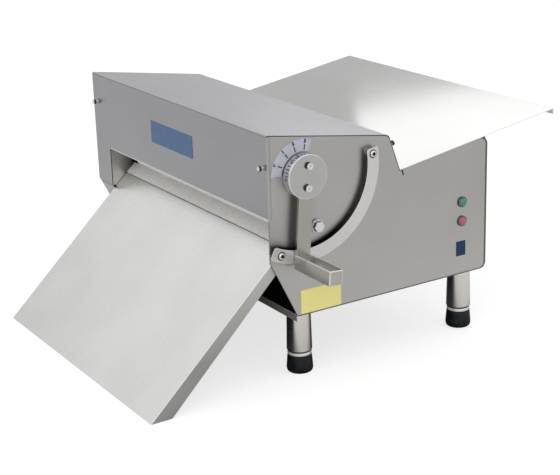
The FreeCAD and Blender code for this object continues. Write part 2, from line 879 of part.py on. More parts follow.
def lies_on(edge, start, end, x_spots):
    """Whether an edge runs within the line from start to end in (y, z) at one of the x_spots."""
    a, b = [vertex.Point for vertex in edge.Vertexes[:2]] if len(edge.Vertexes) > 1 else (None, None)
    if a is None or abs(a.x - b.x) > 0.01:
        return False
    if not any(abs(a.x - x.value) < 0.01 for x in x_spots):
        return False
    along = Vector(0, (end[0] - start[0]).value, (end[1] - start[1]).value).normalize()
    for point in (a, b):
        offset = Vector(0, point.y - start[0].value, point.z - start[1].value)
        if offset.cross(along).Length > 0.01:
            return False
    return True


def cross_bars():
    """Round bars that tie the side plates; the front one carries the slide's upper end."""
    radius = size("cross_bar_radius")
    front = slide_spot(ENTRY - size("rim_short") / 2, size("slide_sheet") + radius)
    rear_depth = REAR - size("rear_bar_inset")
    rear = (rear_depth, tray_under(rear_depth) - size("rear_bar_drop"))
    bars = [rod("bar_front", COLUMN, INNER_RIGHT, front, radius, kept=False),
            rod("bar_rear", COLUMN, INNER_RIGHT, rear, radius, kept=False)]
    whole = document.addObject("Part::Compound", "group_cross_bars")
    whole.Links = bars
    keep(whole, "cross_bars")


def lower_scraper():
    """The plastic blade that peels the sheet off the lower roller on to the slide."""
    body = new_body("lower_scraper")
    place(body)

    def near_roller(gap, angle):
        reach, angle = ROLLER + gap, size(angle)
        return LOWER[0] + reach * cosine(angle), LOWER[1] + reach * sine(angle)

    gap, thick = size("scraper_gap"), size("scraper_thick")
    foot = (ENTRY + size("scraper_foot"), slide_top(ENTRY) + size("scraper_foot"))
    blade = [foot, near_roller(gap, "scraper_tip_angle"), near_roller(2 * gap, "scraper_heel_angle"),
             (foot[0] + thick / 3, foot[1] - thick)]
    slab(body, "side", blade, COLUMN + FIT, INNER_RIGHT - FIT)


def leg_spots():
    """Centres of the four legs, right front first."""
    inset = size("leg_inset")
    front = size("chamfer_depth") + size("leg_front_inset")
    rear = REAR - size("leg_rear_inset")
    return [(RIGHT - inset, front), (LEFT + inset, front), (RIGHT - inset, rear), (LEFT + inset, rear)]


# The side of a rubber foot, as shares of its widest radius and of its height.
FOOT_SIDE = ((0.81, 0.0), (0.95, 0.06), (1.0, 0.2), (0.985, 0.36), (0.915, 0.93), (0.89, 1.0))


def legs():
    """Stainless legs with a groove above the foot, and flared rubber feet."""
    top, low = size("leg_top_radius"), size("leg_low_radius")
    stud = size("leg_stud_radius")
    foot, flare = size("foot_height"), size("foot_radius")
    ring = foot + size("leg_ring")
    groove = ring + size("leg_groove")
    ring_radius, groove_radius = low - size("leg_ring_depth"), low - size("leg_groove_depth")
    stud_top = BOTTOM + size("leg_stud")
    leg_corners = [(0, foot), (ring_radius, foot), (ring_radius, ring), (groove_radius, ring),
                   (groove_radius, groove), (low, groove + size("leg_edge")), (top, BOTTOM),
                   (stud, BOTTOM), (stud, stud_top), (0, stud_top)]
    foot_corners = [(0, 0)] + [(flare * share, foot * rise) for share, rise in FOOT_SIDE]
    foot_corners.append((0, foot))
    names = ("front_right", "front_left", "rear_right", "rear_left")
    for name, (x, y) in zip(names, leg_spots()):
        standing("leg_" + name, leg_corners, x, y)
        standing("foot_" + name, foot_corners, x, y)


def dial_and_arc():
    """The fixed dial plate and the curved bar that the lever sweeps along."""
    outer_face = RIGHT + size("arc_standoff")
    inner = size("hub_radius") + size("dial_gap")
    sector("dial_scale", inner, inner + size("dial_width"), RIGHT, RIGHT + size("dial_thick"),
           "dial_low", "dial_high")
    half = size("arc_width") / 2
    centre = size("arc_radius")
    holes = [(centre, angle, SCREW + HOLE_GAP) for angle in ("arc_low_screw", "arc_high_screw")]
    sector("arc_guide", centre - half, centre + half, outer_face, RIGHT + ARC_FACE,
           "arc_low", "arc_high", holes, "arc_corner")
    ends = [around_hub(centre, angle) for angle in ("arc_low_screw", "arc_high_screw")]
    spots = [(size(0), y, z) for y, z in ends]
    spacer = turned("arc_spacer", tube(RIGHT, outer_face, "spacer_radius", SCREW + HOLE_GAP),
                    (size(0), size(0)), kept=False)
    group("arc_spacers", spacer, spots)
    head = RIGHT + ARC_FACE
    wall, top = head + size("arc_head_wall"), head + size("arc_head")
    tip = INNER_RIGHT - size("arc_screw_tip")
    wide, socket = size("arc_head_radius"), size("arc_socket_radius")
    screw_corners = [(tip, 0), (tip, SCREW), (head, SCREW), (head, wide), (wall, wide),
                     (top, "arc_head_top"), (top, socket), (wall, socket), (wall, 0)]
    screw = turned("arc_screw", screw_corners, (size(0), size(0)), kept=False)
    group("arc_screws", screw, spots)


def eccentrics():
    """The off-centre discs that carry the upper axle, and the rings that they turn in."""
    axle = size("axle_radius")
    ring = ECCENTRIC + size("running_gap")
    length = size("housing_length")
    boss_end = ROLLER_RIGHT + size("end_play")
    upper_hole = (UPPER[0], UPPER[1], axle)
    right = new_body("right_eccentric")
    place(right)
    slab(right, "side", [], INNER_RIGHT - length, RIGHT + size("hub_gap"),
         [(HUB[0], HUB[1], ECCENTRIC), upper_hole])
    slab(right, "side", [], boss_end, INNER_RIGHT - length,
         [(UPPER[0], UPPER[1], size("shoulder_radius")), upper_hole])
    left = new_body("left_eccentric")
    place(left)
    slab(left, "side", [], INNER_LEFT + FIT, INNER_LEFT + length,
         [(HUB[0], HUB[1], ECCENTRIC), upper_hole])
    outer = ring + size("housing_wall")
    housing = turned("bearing_housing", tube(size(0), length, outer, ring), (size(0), size(0)),
                     kept=False)
    group("bearing_housings", housing,
          [(INNER_RIGHT - length, HUB[0], HUB[1]), (INNER_LEFT, HUB[0], HUB[1])])


def roller_set(name, centre):
    """A hollow roller, its two bushes and its belt pulley with a drive sleeve."""
    axle = size("axle_radius") + size("running_gap")
    bush, length = size("bush_radius"), size("bush_length")
    bore = ROLLER - size("roller_wall")
    left, right = ROLLER_LEFT, ROLLER_RIGHT
    edge = size("roller_edge")
    turned(name + "_roller",
           [(left, bush), (left, ROLLER - edge), (left + edge, ROLLER), (right - edge, ROLLER),
            (right, ROLLER - edge), (right, bush), (right - length, bush), (right - length, bore),
            (left + length, bore), (left + length, bush)], centre)
    source = turned(name + "_bush", tube(size(0), length, bush, axle), (size(0), size(0)), kept=False)
    group(name + "_roller_bushes", source,
          [(left, centre[0], centre[1]), (right - length, centre[0], centre[1])])
    sleeve, inner = size("sleeve_radius"), size("axle_radius") + WIDE_GAP
    turned(name + "_pulley", pulley_corners(PITCH, inner, left, sleeve), centre)


def pulley_corners(pitch, bore, sleeve_end=None, sleeve=None):
    """Corners of a flanged belt pulley, with an optional sleeve to its right."""
    face = size(pitch) - size("belt_thick") / 2 - size("belt_gap")
    rim = face + size("flange_rise")
    wall = size("flange_thick")
    side = size("belt_gap")
    low, high = BELT_LEFT - side, BELT_RIGHT + side
    corners = [(low - wall, bore), (low - wall, rim), (low, rim), (low, face), (high, face),
               (high, rim), (high + wall, rim)]
    if sleeve_end is None:
        return corners + [(high + wall, bore)]
    return corners + [(high + wall, sleeve), (sleeve_end, sleeve), (sleeve_end, bore)]


def rollers():
    """Both rollers with the axles that they turn on."""
    roller_set("upper", UPPER)
    roller_set("lower", LOWER)
    axle, shoulder = size("axle_radius"), size("shoulder_radius")
    rod("upper_axle", INNER_LEFT + FIT, RIGHT + size("hub_gap"), UPPER, axle)
    stop = ROLLER_RIGHT + size("end_play")
    left_stop = PULLEY_LEFT - size("end_play")
    tapped = size("tapped_depth")
    turned("lower_axle",
           [(INNER_LEFT + tapped, 0), (INNER_LEFT + tapped, BOLT), (INNER_LEFT, BOLT),
            (INNER_LEFT, shoulder), (left_stop, shoulder), (left_stop, axle), (stop, axle),
            (stop, shoulder), (INNER_RIGHT, shoulder), (INNER_RIGHT, BOLT),
            (INNER_RIGHT - tapped, BOLT), (INNER_RIGHT - tapped, 0)], LOWER)


def hex_corners(reach):
    """Corners of a hexagon about the origin, reach being half the width across flats."""
    far = size(reach) / cosine(size(30))
    return [(far * cosine(size(60 * turn)), far * sine(size(60 * turn))) for turn in range(6)]


def axle_bolts():
    """Hexagon bolts with a collar that hold the lower axle from outside."""
    parts = []
    for label, face, way in (("right", RIGHT, 1), ("left", LEFT, -1)):
        body = new_body("axle_bolt_" + label, kept=False)
        place(body, 0, LOWER[0], LOWER[1])

        def span(near, far):
            ends = (face + way * size(near), face + way * size(far))
            return ends if way > 0 else ends[::-1]

        collar = size("bolt_collar")
        slab(body, "side", [], *span(0, collar), [(0, 0, size("bolt_collar_radius"))])
        slab(body, "side", hex_corners("bolt_flat"), *span(collar, BOLT_OUT))
        slab(body, "side", [], *span(-PLATE - size("bolt_grip"), 0), [(0, 0, BOLT)])
        parts.append(body)
    whole = document.addObject("Part::Compound", "group_axle_bolts")
    whole.Links = parts
    keep(whole, "axle_bolts")


def lever_body(label):
    """A body at the hub, turned so that its own z runs down the lever."""
    body = new_body(label)
    place(body, 0, HUB[0], HUB[1], size(180) - size("lever_lean"), Vector(1, 0, 0))
    return body


def box_corners(half, low, high):
    half = size(half)
    return [(-half, low), (half, low), (half, high), (-half, high)]


def gap_lever():
    """Hub, lever bar, handle and the disc that caps the hub."""
    half = size("lever_width") / 2
    reach = size("cap_screw_reach")
    radius = size("hub_radius")
    holes = [(0, reach, CAP_SCREW + HOLE_GAP), (0, -reach, CAP_SCREW + HOLE_GAP)]
    back, face = RIGHT + LEVER_BACK, RIGHT + LEVER_FACE
    hub = lever_body("hub")
    slab(hub, "side", [], RIGHT + size("hub_gap"), back, [(0, 0, radius)] + holes)
    hub_front = sketch_on(hub, "YZ_Plane", back)
    round_hole(hub_front, 0, 0, radius)
    pad(hub, hub_front, face - back)
    slot = sketch_on(hub, "YZ_Plane", back)
    outline(slot, box_corners(half, -size("lever_tail"), radius + size("over_cut")))
    pocket = hub.newObject("PartDesign::Pocket", "pocket")
    pocket.Profile = slot
    pocket.Reversed = True
    pocket.setExpression("Length", (face - back + size("over_cut")).text)
    hub.Tip = pocket
    inner = size("handle_inner")
    lever = lever_body("lever_bar")
    slab(lever, "side", box_corners(half, -size("lever_tail"), inner), back, face, holes)
    handle = lever_body("handle")
    slab(handle, "side", box_corners(half, inner, HANDLE_OUTER), back, RIGHT + HANDLE_END)
    end = (RIGHT + HANDLE_END).value
    soften(handle, "handle_edge", lambda edge: edge.BoundBox.XMax > end - 0.1)
    cap = lever_body("cap_disc")
    cap_face = face + size("cap_thick")
    slab(cap, "side", [], face, cap_face, [(0, 0, radius)] + holes)
    tip, top = RIGHT + size("hub_gap"), cap_face + size("cap_head")
    wide, edge = size("cap_head_radius"), size("cap_head_edge")
    socket, floor = size("cap_socket_radius"), top - size("cap_socket")
    corners = [(tip, 0), (tip, CAP_SCREW), (cap_face, CAP_SCREW), (cap_face, wide),
               (top - edge, wide), (top, wide - edge), (top, socket), (floor, socket), (floor, 0)]
    screw = turned("cap_screw", corners, (size(0), size(0)), kept=False)
    lean = size("lever_lean")
    shift = (reach * sine(lean), reach * cosine(lean))
    group("cap_screws", screw, [(size(0), HUB[0] - shift[0], HUB[1] - shift[1]),
                                (size(0), HUB[0] + shift[0], HUB[1] + shift[1])])
    half_arc, within = size("arc_width") / 2, size("pad_inset")
    low, high = size("arc_radius") - half_arc, size("arc_radius") + half_arc - within
    friction = lever_body("friction_pad")
    slab(friction, "side", box_corners(half - within, low, high),
         RIGHT + ARC_FACE + size("pad_gap"), back)


# The domed end of a button: how far below the top, and at which share of its radius.
BUTTON_DOME = ((1.8, 1.0), (0.7, 0.85), (0.15, 0.55), (0.0, 0.25), (0.0, 0.0))


def buttons():
    """The green and the red push button, each in a chromed ring, with their switch box."""
    barrel, bore = size("barrel_radius"), size("button_radius") + size("button_gap")
    rim, rise = size("bezel_radius"), size("bezel_rise")
    depth = BUTTON_DEPTH
    back, edge = INNER_RIGHT - size("button_back"), size("bezel_edge")
    bezel = turned("button_bezel",
                   [(back, bore), (back, barrel), (RIGHT, barrel), (RIGHT, rim),
                    (RIGHT + rise - edge, rim), (RIGHT + rise, rim - edge), (RIGHT + rise, bore)],
                   (size(0), size(0)), kept=False)
    group("button_bezels", bezel, [(size(0), depth, height) for height in BUTTON_HEIGHTS.values()])
    face = RIGHT + size("button_rise")
    radius = size("button_radius")
    dome = [(face - drop, radius * share) for drop, share in BUTTON_DOME]
    for name, height in BUTTON_HEIGHTS.items():
        turned(name + "_button", [(back, 0), (back, radius)] + dome, (depth, height))
    body = new_body("switch_box")
    place(body)
    half, wall = size("switch_box_half"), size("switch_box_wall")

    def box(side):
        low, high = BUTTON_HEIGHTS["stop"] - side, BUTTON_HEIGHTS["start"] + side
        return [(depth - side, low), (depth + side, low), (depth + side, high), (depth - side, high)]

    floor = INNER_RIGHT - size("switch_box_depth")
    slab(body, "side", box(half), floor, floor + wall)
    rim_sketch = sketch_on(body, "YZ_Plane", floor + wall)
    outline(rim_sketch, box(half))
    outline(rim_sketch, box(half - wall))
    pad(body, rim_sketch, INNER_RIGHT - floor - wall)


def plates():
    """The bare blue and yellow plates: one on the front face, two on the right panel."""
    thick = size("plate_thick")
    front = new_body("blue_front_plate")
    place(front)
    centre = RIGHT - size("front_plate_inset")
    middle = HOOD_TOP - size("front_plate_drop")
    slab(front, "front", plate_corners(centre, middle, "front_plate"), -thick, size(0))
    side = {"blue": (REAR - size("blue_plate_inset"), BOTTOM + size("blue_plate_rise")),
            "yellow": (size("chamfer_depth") + size("yellow_plate_behind"),
                       BOTTOM + size("yellow_plate_rise"))}
    for colour, (depth, height) in side.items():
        body = new_body(colour + "_side_plate")
        place(body)
        slab(body, "side", plate_corners(depth, height, colour + "_plate"), RIGHT, RIGHT + thick)


def plate_corners(u, v, name):
    """Corners of a plate about its middle, its width and height being named sizes."""
    wide, tall = size(name + "_width") / 2, size(name + "_height") / 2
    return [(u - wide, v - tall), (u + wide, v - tall), (u + wide, v + tall), (u - wide, v + tall)]


def hood_fasteners():
    """Thumb screws through the hood's front and flap, and the tabs that the front ones hold in."""
    half, tall = INNER_RIGHT - SCREW_SPOTS[0], size("tab_half_height")
    tab = new_body("hood_tab", kept=False)
    place(tab)
    slab(tab, "front", [(-half, -tall), (half, -tall), (half, tall), (-half, tall)],
         SHEET, SHEET + size("tab_thick"), [(0, 0, SCREW + HOLE_GAP)])
    group("hood_tabs", tab, [(x, size(0), SCREW_HEIGHT) for x in SCREW_SPOTS])
    wide, edge, neck = size("thumb_radius"), size("thumb_edge"), size("thumb_neck_radius")
    head, base, tip = size("thumb_head"), size("thumb_neck"), SHEET + size("thumb_thread")
    corners = [(0, -head), (wide - edge, -head), (wide, edge - head),
               (wide, -base - size("thumb_shoulder")), (neck, -base), (neck, 0), (SCREW, 0),
               (SCREW, tip), (0, tip)]
    screw = new_body("hood_screw", kept=False)
    revolve(screw, corners, "XY_Plane", "V_Axis")
    place(screw)
    flap = flap_spot(FLAP_SCREW_RISE)
    spots = [(x, size(0), SCREW_HEIGHT) for x in SCREW_SPOTS]
    spots += [(x, flap[0], flap[1]) for x in FLAP_SCREW_SPOTS]
    turns = [size(0), size(0), 180 + LEAN, 180 + LEAN]
    group("hood_screws", screw, spots, turns)


GLAND = (LEFT + size("gland_inset"), BOTTOM + size("gland_rise"))


def gland():
    """The strain-relief gland on the rear panel."""
    body = new_body("power_gland")
    place(body, GLAND[0], 0, GLAND[1])
    face = REAR - SHEET
    inside = face - SHEET
    bore, thread, wide = size("gland_bore"), size("gland_thread"), size("gland_nut_radius")
    nut, end = inside - size("gland_nut"), face + size("gland_length")
    corners = [(bore, nut), (wide, nut), (wide, inside), (thread, inside), (thread, face),
               (wide, face), (wide, face + size("gland_collar")),
               ("gland_neck_radius", face + size("gland_neck")), ("gland_nose_radius", end),
               (bore, end)]
    revolve(body, corners, "XY_Plane", "V_Axis")


def motor_group():
    """Gearmotor on its bracket, with the output shaft and its pulley."""
    left = COLUMN
    y, z = MOTOR
    half = size("gearbox_half")
    box_end = left + size("gearbox_length")
    gearbox = new_body("gearbox")
    place(gearbox)
    shaft = size("axle_radius")
    slab(gearbox, "side", [(y - half, z - half), (y + half, z - half), (y + half, z + half),
                           (y - half, z + half)],
         left, box_end, [(y, z, shaft + size("running_gap"))])
    radius, cover = size("motor_radius"), size("fan_cover_radius")
    motor_end = box_end + size("motor_length")
    cover_end = motor_end + size("fan_cover_length")
    step, edge = size("fan_cover_step"), size("fan_cover_edge")
    turned("motor", [(box_end, 0), (box_end, radius), (motor_end, radius), (motor_end + step, cover),
                     (cover_end - edge, cover), (cover_end, cover - edge), (cover_end, 0)], MOTOR)
    bracket = new_body("motor_bracket")
    place(bracket)
    floor = BOTTOM + SHEET
    foot, web = floor + size("bracket_foot"), size("bracket_web")
    wide = size("bracket_half")

    def upright(low_y, high_y, low_z, high_z):
        corners = [(low_y, low_z), (high_y, low_z), (high_y, high_z), (low_y, high_z)]
        slab(bracket, "side", corners, left, box_end)

    upright(y - wide, y + wide, floor, foot)
    upright(y - half, y - half + web, foot, z - half)
    upright(y + half - web, y + half, foot, z - half)
    rod("motor_shaft", PULLEY_LEFT, box_end - size("end_play"), MOTOR, shaft)
    turned("motor_pulley", pulley_corners("motor_pitch", shaft), MOTOR)


def belt_tensioner():
    """The small pulley that keeps the belt tight, and the stud that it turns on."""
    turned("tension_pulley", pulley_corners("tension_pitch", BOLT + size("running_gap")), TENSION)
    cap = PULLEY_LEFT - size("end_play")
    head = cap - size("flange_thick")
    rise = size("belt_gap") + size("flange_thick") + size("end_play")
    collar = BELT_RIGHT + rise
    wide = size("tension_collar")
    plate_end = COLUMN + BOLT
    turned("tension_stud", [(head, 0), (head, wide), (cap, wide), (cap, BOLT), (collar, BOLT),
                            (collar, wide), (COLUMN - PLATE, wide), (COLUMN - PLATE, BOLT),
                            (plate_end, BOLT), (plate_end, 0)], TENSION)


def belt_edge(wheels, offset):
    """Straight and round edges of a closed belt line round the wheels.

    Each wheel is (y, z, pitch radius, way), way being +1 where it turns anticlockwise.
    The line runs at the offset from the pitch line, outwards positive.
    """
    count = len(wheels)
    spans = []
    for index in range(count):
        y0, z0, r0, way0 = wheels[index]
        y1, z1, r1, way1 = wheels[(index + 1) % count]
        reach0, reach1 = way0 * (r0 + way0 * offset), way1 * (r1 + way1 * offset)
        gap = math.hypot(y1 - y0, z1 - z0)
        course = math.atan2(z1 - z0, y1 - y0) + math.asin((reach0 - reach1) / gap)
        side = Vector(0, math.sin(course), -math.cos(course))
        spans.append((Vector(0, y0, z0) + side * reach0, Vector(0, y1, z1) + side * reach1, course))
    edges = []
    for index in range(count):
        start, end, course = spans[index]
        edges.append(Part.LineSegment(start, end).toShape())
        y, z, radius, way = wheels[(index + 1) % count]
        after, _, next_course = spans[(index + 1) % count]
        turn = (next_course - course) * way % (2 * math.pi)
        middle_course = course + way * turn / 2
        side = Vector(0, math.sin(middle_course), -math.cos(middle_course))
        middle = Vector(0, y, z) + side * (way * (radius + way * offset))
        edges.append(Part.Arc(end, middle, after).toShape())
    return edges


def drive_belt():
    """The double-sided belt: motor, tension pulley, back of the upper pulley, lower pulley."""
    wheels = []
    for centre, pitch, way in ((MOTOR, "motor_pitch", 1), (TENSION, "tension_pitch", 1),
                               (UPPER, PITCH, -1), (LOWER, PITCH, 1)):
        wheels.append((centre[0].value, centre[1].value, size(pitch).value, way))
    half = SIZES["belt_thick"] / 2
    faces = [Part.Face(Part.Wire(belt_edge(wheels, offset))) for offset in (half, -half)]
    width = Vector(SIZES["belt_width"], 0, 0)
    belt = document.addObject("Part::Feature", "belt")
    belt.Shape = faces[0].cut(faces[1]).extrude(width)
    belt.Placement = FreeCAD.Placement(
        Vector(BELT_LEFT.value - CENTRE_X.value, -CENTRE_Y.value, 0), FreeCAD.Rotation())
    keep(belt, "drive_belt")


side_panels()
inner_plate()
base_pan()
rear_panel()
hood()
belt_guard()
infeed_tray()
discharge_slide()
cross_bars()
lower_scraper()
legs()
dial_and_arc()
eccentrics()
rollers()
axle_bolts()
gap_lever()
buttons()
plates()
hood_fasteners()
gland()
motor_group()
belt_tensioner()
drive_belt()
document.recompute()

for item in document.Objects:
    if "Invalid" in item.State or "Error" in item.State:
        raise RuntimeError("%s failed: %s" % (item.Label, item.State))
for part in subparts:
    if part.Shape.isNull() or not part.Shape.isValid() or not part.Shape.Solids:
        raise RuntimeError("%s has no sound shape" % part.Label)

os.makedirs("parts", exist_ok=True)
for part in subparts:
    part.Shape.exportStep(os.path.join("parts", part.Label + ".step"))
print(len(subparts), "sub-parts")
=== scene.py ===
"""The looks of the fondant sheeter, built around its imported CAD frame."""
import json
import math

import bmesh
import bpy
import numpy as np
from mathutils import Matrix, Vector


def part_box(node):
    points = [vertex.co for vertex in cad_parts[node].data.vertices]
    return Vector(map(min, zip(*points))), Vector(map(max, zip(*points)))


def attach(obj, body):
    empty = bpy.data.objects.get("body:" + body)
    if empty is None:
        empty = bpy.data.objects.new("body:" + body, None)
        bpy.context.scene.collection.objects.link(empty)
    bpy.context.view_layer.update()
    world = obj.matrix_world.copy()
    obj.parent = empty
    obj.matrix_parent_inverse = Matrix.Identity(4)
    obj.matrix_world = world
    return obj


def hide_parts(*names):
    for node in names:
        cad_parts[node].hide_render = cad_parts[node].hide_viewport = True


MM = 0.001
TAU = 2 * math.pi

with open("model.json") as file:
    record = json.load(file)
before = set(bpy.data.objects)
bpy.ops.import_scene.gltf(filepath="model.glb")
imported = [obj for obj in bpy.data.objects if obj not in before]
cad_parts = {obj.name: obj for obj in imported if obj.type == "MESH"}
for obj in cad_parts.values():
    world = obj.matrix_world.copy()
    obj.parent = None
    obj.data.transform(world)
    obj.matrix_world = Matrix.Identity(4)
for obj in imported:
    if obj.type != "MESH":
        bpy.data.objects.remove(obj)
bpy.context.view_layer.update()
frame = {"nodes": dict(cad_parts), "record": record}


def linear(code):
    """A hexadecimal sRGB colour as linear red, green, blue and alpha."""
    parts = [int(code[i:i + 2], 16) / 255 for i in (0, 2, 4)]
    return [p / 12.92 if p <= 0.04045 else ((p + 0.055) / 1.055) ** 2.4 for p in parts] + [1.0]


def add(tree, kind, settings=None, **inputs):
    """Add a node; settings are its own options, inputs are socket values or links."""
    node = tree.nodes.new("ShaderNode" + kind)
    for key, value in (settings or {}).items():
        setattr(node, key, value)
    for key, value in inputs.items():
        name = key.replace("_", " ")
        socket = node.inputs[int(key[1:])] if key[1:].isdigit() else node.inputs[name]
        if isinstance(value, bpy.types.NodeSocket):
            tree.links.new(value, socket)
        else:
            socket.default_value = value
    return node


def ramp(tree, source, low, high, start, end):
    """A number or a colour that runs from low to high while source runs from start to end."""
    if isinstance(low, (int, float)):
        made = add(tree, "MapRange", None, Value=source, From_Min=start, From_Max=end,
                   To_Min=low, To_Max=high)
        return made.outputs["Result"]
    share = add(tree, "MapRange", None, Value=source, From_Min=start, From_Max=end)
    made = add(tree, "Mix", {"data_type": "RGBA"}, i0=share.outputs["Result"], i6=low, i7=high)
    return made.outputs[2]


def pattern(tree, size, detail):
    """A noise whose cells measure size (x, y, z) in millimetres, in object coordinates."""
    place = add(tree, "TexCoord")
    scale = [1 / (length * MM) for length in size]
    mapped = add(tree, "Mapping", None, Vector=place.outputs["Object"], Scale=scale)
    noise = add(tree, "TexNoise", None, Vector=mapped.outputs["Vector"], Scale=1.0, Detail=detail)
    return noise.outputs[0]


def material(name, **constants):
    """A new Principled material: its tree and its shader, with constant values set."""
    made = bpy.data.materials.new(name)
    made.use_nodes = True
    shader = made.node_tree.nodes["Principled BSDF"]
    for key, value in constants.items():
        shader.inputs[key.replace("_", " ")].default_value = value
    return made, made.node_tree, shader


def bumped(tree, shader, height, distance):
    """Let a height pattern raise the surface by a distance in millimetres."""
    bump = add(tree, "Bump", None, Height=height, Distance=distance * MM, Strength=1.0)
    tree.links.new(bump.outputs["Normal"], shader.inputs["Normal"])


# Most of a noise's values lie between these two.
NOISE_LOW, NOISE_HIGH = 0.3, 0.7
SPOT_LOW, SPOT_HIGH = 0.35, 0.65


def brushed(name, colour, grain, roughness=0.34, shade=0.05, depth=0.004, metallic=1.0, worn=None):
    """Brushed stainless steel: fine parallel scratches along the long side of the grain.

    Where worn is given, worn(tree) returns a grey level of painted light and shade that darkens or
    brightens the colour.
    """
    made, tree, shader = material(name, Metallic=metallic)
    fine = pattern(tree, grain, 3.0)
    cloud_cell = 60
    cloud_dark, cloud_pale = [0.965] * 3 + [1], [1.03] * 3 + [1]
    cloud = pattern(tree, [max(g, cloud_cell) * 2 for g in grain], 2.0)
    base = np.array(linear(colour))
    low, high = base * (1 - shade), base * (1 + shade)
    low[3] = high[3] = 1
    tone = ramp(tree, fine, list(low), list(high), NOISE_LOW, NOISE_HIGH)
    shades = ramp(tree, cloud, cloud_dark, cloud_pale, NOISE_LOW, NOISE_HIGH)
    wide = add(tree, "Mix", {"data_type": "RGBA", "blend_type": "MULTIPLY"}, i0=1.0, i6=tone,
               i7=shades)
    if worn:
        wide = add(tree, "Mix", {"data_type": "RGBA", "blend_type": "MULTIPLY"}, i0=1.0,
                   i6=wide.outputs[2], i7=worn(tree))
    tree.links.new(wide.outputs[2], shader.inputs["Base Color"])
    rough = ramp(tree, fine, roughness * 0.8, roughness * 1.2, NOISE_LOW, NOISE_HIGH)
    tree.links.new(rough, shader.inputs["Roughness"])
    bumped(tree, shader, fine, depth)
    return made


def mottled(name, colour, other, cell, low, high, depth=0.0, **constants):
    """A plain finish whose colour and gloss wander slightly from place to place."""
    made, tree, shader = material(name, **constants)
    spots = pattern(tree, [cell] * 3, 4.0)
    tone = ramp(tree, spots, linear(colour), linear(other), SPOT_LOW, SPOT_HIGH)
    tree.links.new(tone, shader.inputs["Base Color"])
    rough = ramp(tree, spots, low, high, SPOT_LOW, SPOT_HIGH)
    tree.links.new(rough, shader.inputs["Roughness"])
    if depth:
        grains_per_cell = 8
        bumped(tree, shader, pattern(tree, [cell / grains_per_cell] * 3, 2.0), depth)
    return made


def product(tree, *levels):
    """The levels multiplied with each other."""
    made = levels[0]
    for level in levels[1:]:
        made = add(tree, "Math", {"operation": "MULTIPLY"}, i0=made, i1=level).outputs[0]
    return made


def grey(tree, level):
    """A level as a grey colour."""
    return add(tree, "CombineXYZ", None, X=level, Y=level, Z=level).outputs[0]


def spot_in_space(tree):
    """The X, Y and Z of the shaded point, in metres."""
    place = add(tree, "TexCoord").outputs["Object"]
    return add(tree, "SeparateXYZ", None, Vector=place).outputs


def difference(tree, one, other):
    """One level minus another."""
    return add(tree, "Math", {"operation": "SUBTRACT"}, i0=one, i1=other).outputs[0]


def rim_wear(tree):
    """Painted light: darkest a third of the way up the slide, brightest under the mouth; heights in
    metres.
    """
    height = spot_in_space(tree)["Z"]
    return grey(tree, product(tree, ramp(tree, height, 0.95, 0.82, 0.0, 0.06),
                              ramp(tree, height, 1.0, 1.7, 0.08, 0.24)))


def mouth_shade(tree):
    """Painted shade: full colour near the front edge, darker further inside the mouth."""
    shade_start, dark = 0.016, 0.05
    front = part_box("inner_side_plate")[0].y
    depth = spot_in_space(tree)["Y"]
    return grey(tree, ramp(tree, depth, 1.0, 0.12, front + shade_start, front + dark))


def lever_wear(tree):
    """Painted light, paler towards the bottom edge, and a black painted shadow beside and behind
    the arc.

    The black band follows the distance from the hub's axis and the angle round it, in metres
    and radians: 0 points to the rear, minus a quarter turn down.
    """
    place = spot_in_space(tree)
    low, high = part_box("cap_disc")
    pale = ramp(tree, place["Z"], 1.12, 1.0, 0.14, 0.30)
    across = difference(tree, place["Y"], (low.y + high.y) / 2)
    up = difference(tree, place["Z"], (low.z + high.z) / 2)
    flat = add(tree, "CombineXYZ", None, X=across, Y=up).outputs[0]
    reach = add(tree, "VectorMath", {"operation": "LENGTH"}, i0=flat).outputs["Value"]
    turn = add(tree, "Math", {"operation": "ARCTAN2"}, i0=up, i1=across).outputs[0]
    outer = ramp(tree, reach, 1.0, 0.0, 0.148, 0.154)
    # A black band beside and behind the arc: a painted shadow.
    band = product(tree, ramp(tree, reach, 0.0, 0.45, 0.119, 0.130), outer,
                   ramp(tree, turn, 0.0, 1.0, -2.15, -1.95), ramp(tree, turn, 1.0, 0.0, 0.02, 0.2))
    deep = product(tree, ramp(tree, reach, 0.0, 0.5, 0.127, 0.133), outer,
                   ramp(tree, turn, 0.0, 1.0, -2.1, -2.0), ramp(tree, turn, 1.0, 0.0, -1.1, -0.4))
    dark = add(tree, "Math", {"operation": "ADD"}, i0=band, i1=deep).outputs[0]
    return grey(tree, product(tree, pale, difference(tree, 1.0, dark)))


# Brushed along the width: long faint streaks and a soft sheen on the hood.
STEEL = brushed("brushed_stainless_steel", "AEAEB1", (90, 0.5, 0.5))
# The tray is smoother than the hood, so its far end mirrors the light beyond it.
TRAY_STEEL = brushed("smooth_stainless_steel", "9E9E9D", (90, 0.6, 0.6), 0.14, 0.03, 0.002)
# The slide is rubbed pale by use and cleaning.
SLIDE_STEEL = brushed("worn_stainless_steel", "DCDCDA", (60, 0.7, 0.7), 0.3, 0.03, 0.003)
# The slide's rims are brushed across, greyer than its rubbed floor, with painted light: darker low
# down, brighter under the mouth.
RIM_STEEL = brushed("brushed_stainless_rim", "ADADA9", (0.5, 60, 60), 0.5, 0.03, 0.004, 0.6,
                    worn=rim_wear)
# The wall at the left of the mouth: bright at its front edge, with painted shade that darkens it
# further inside.
MOUTH_STEEL = brushed("painted_shade_stainless_steel", "B4B2AD", (0.5, 60, 60), 0.36, 0.04,
                      worn=mouth_shade)
# The pan is plain sheet, darker than the brushed plates; only its folds shine, with a painted
# highlight.
PAN_STEEL = brushed("pressed_stainless_sheet", "77766F", (90, 0.8, 0.8), 0.3, 0.06, 0.003)
# Its front and rear lips are dull from the press and keep some light in the slide's shadow.
LIP_STEEL = brushed("pressed_stainless_lip", "8E8D88", (90, 0.8, 0.8), 0.45, 0.05, 0.003, 0.3)
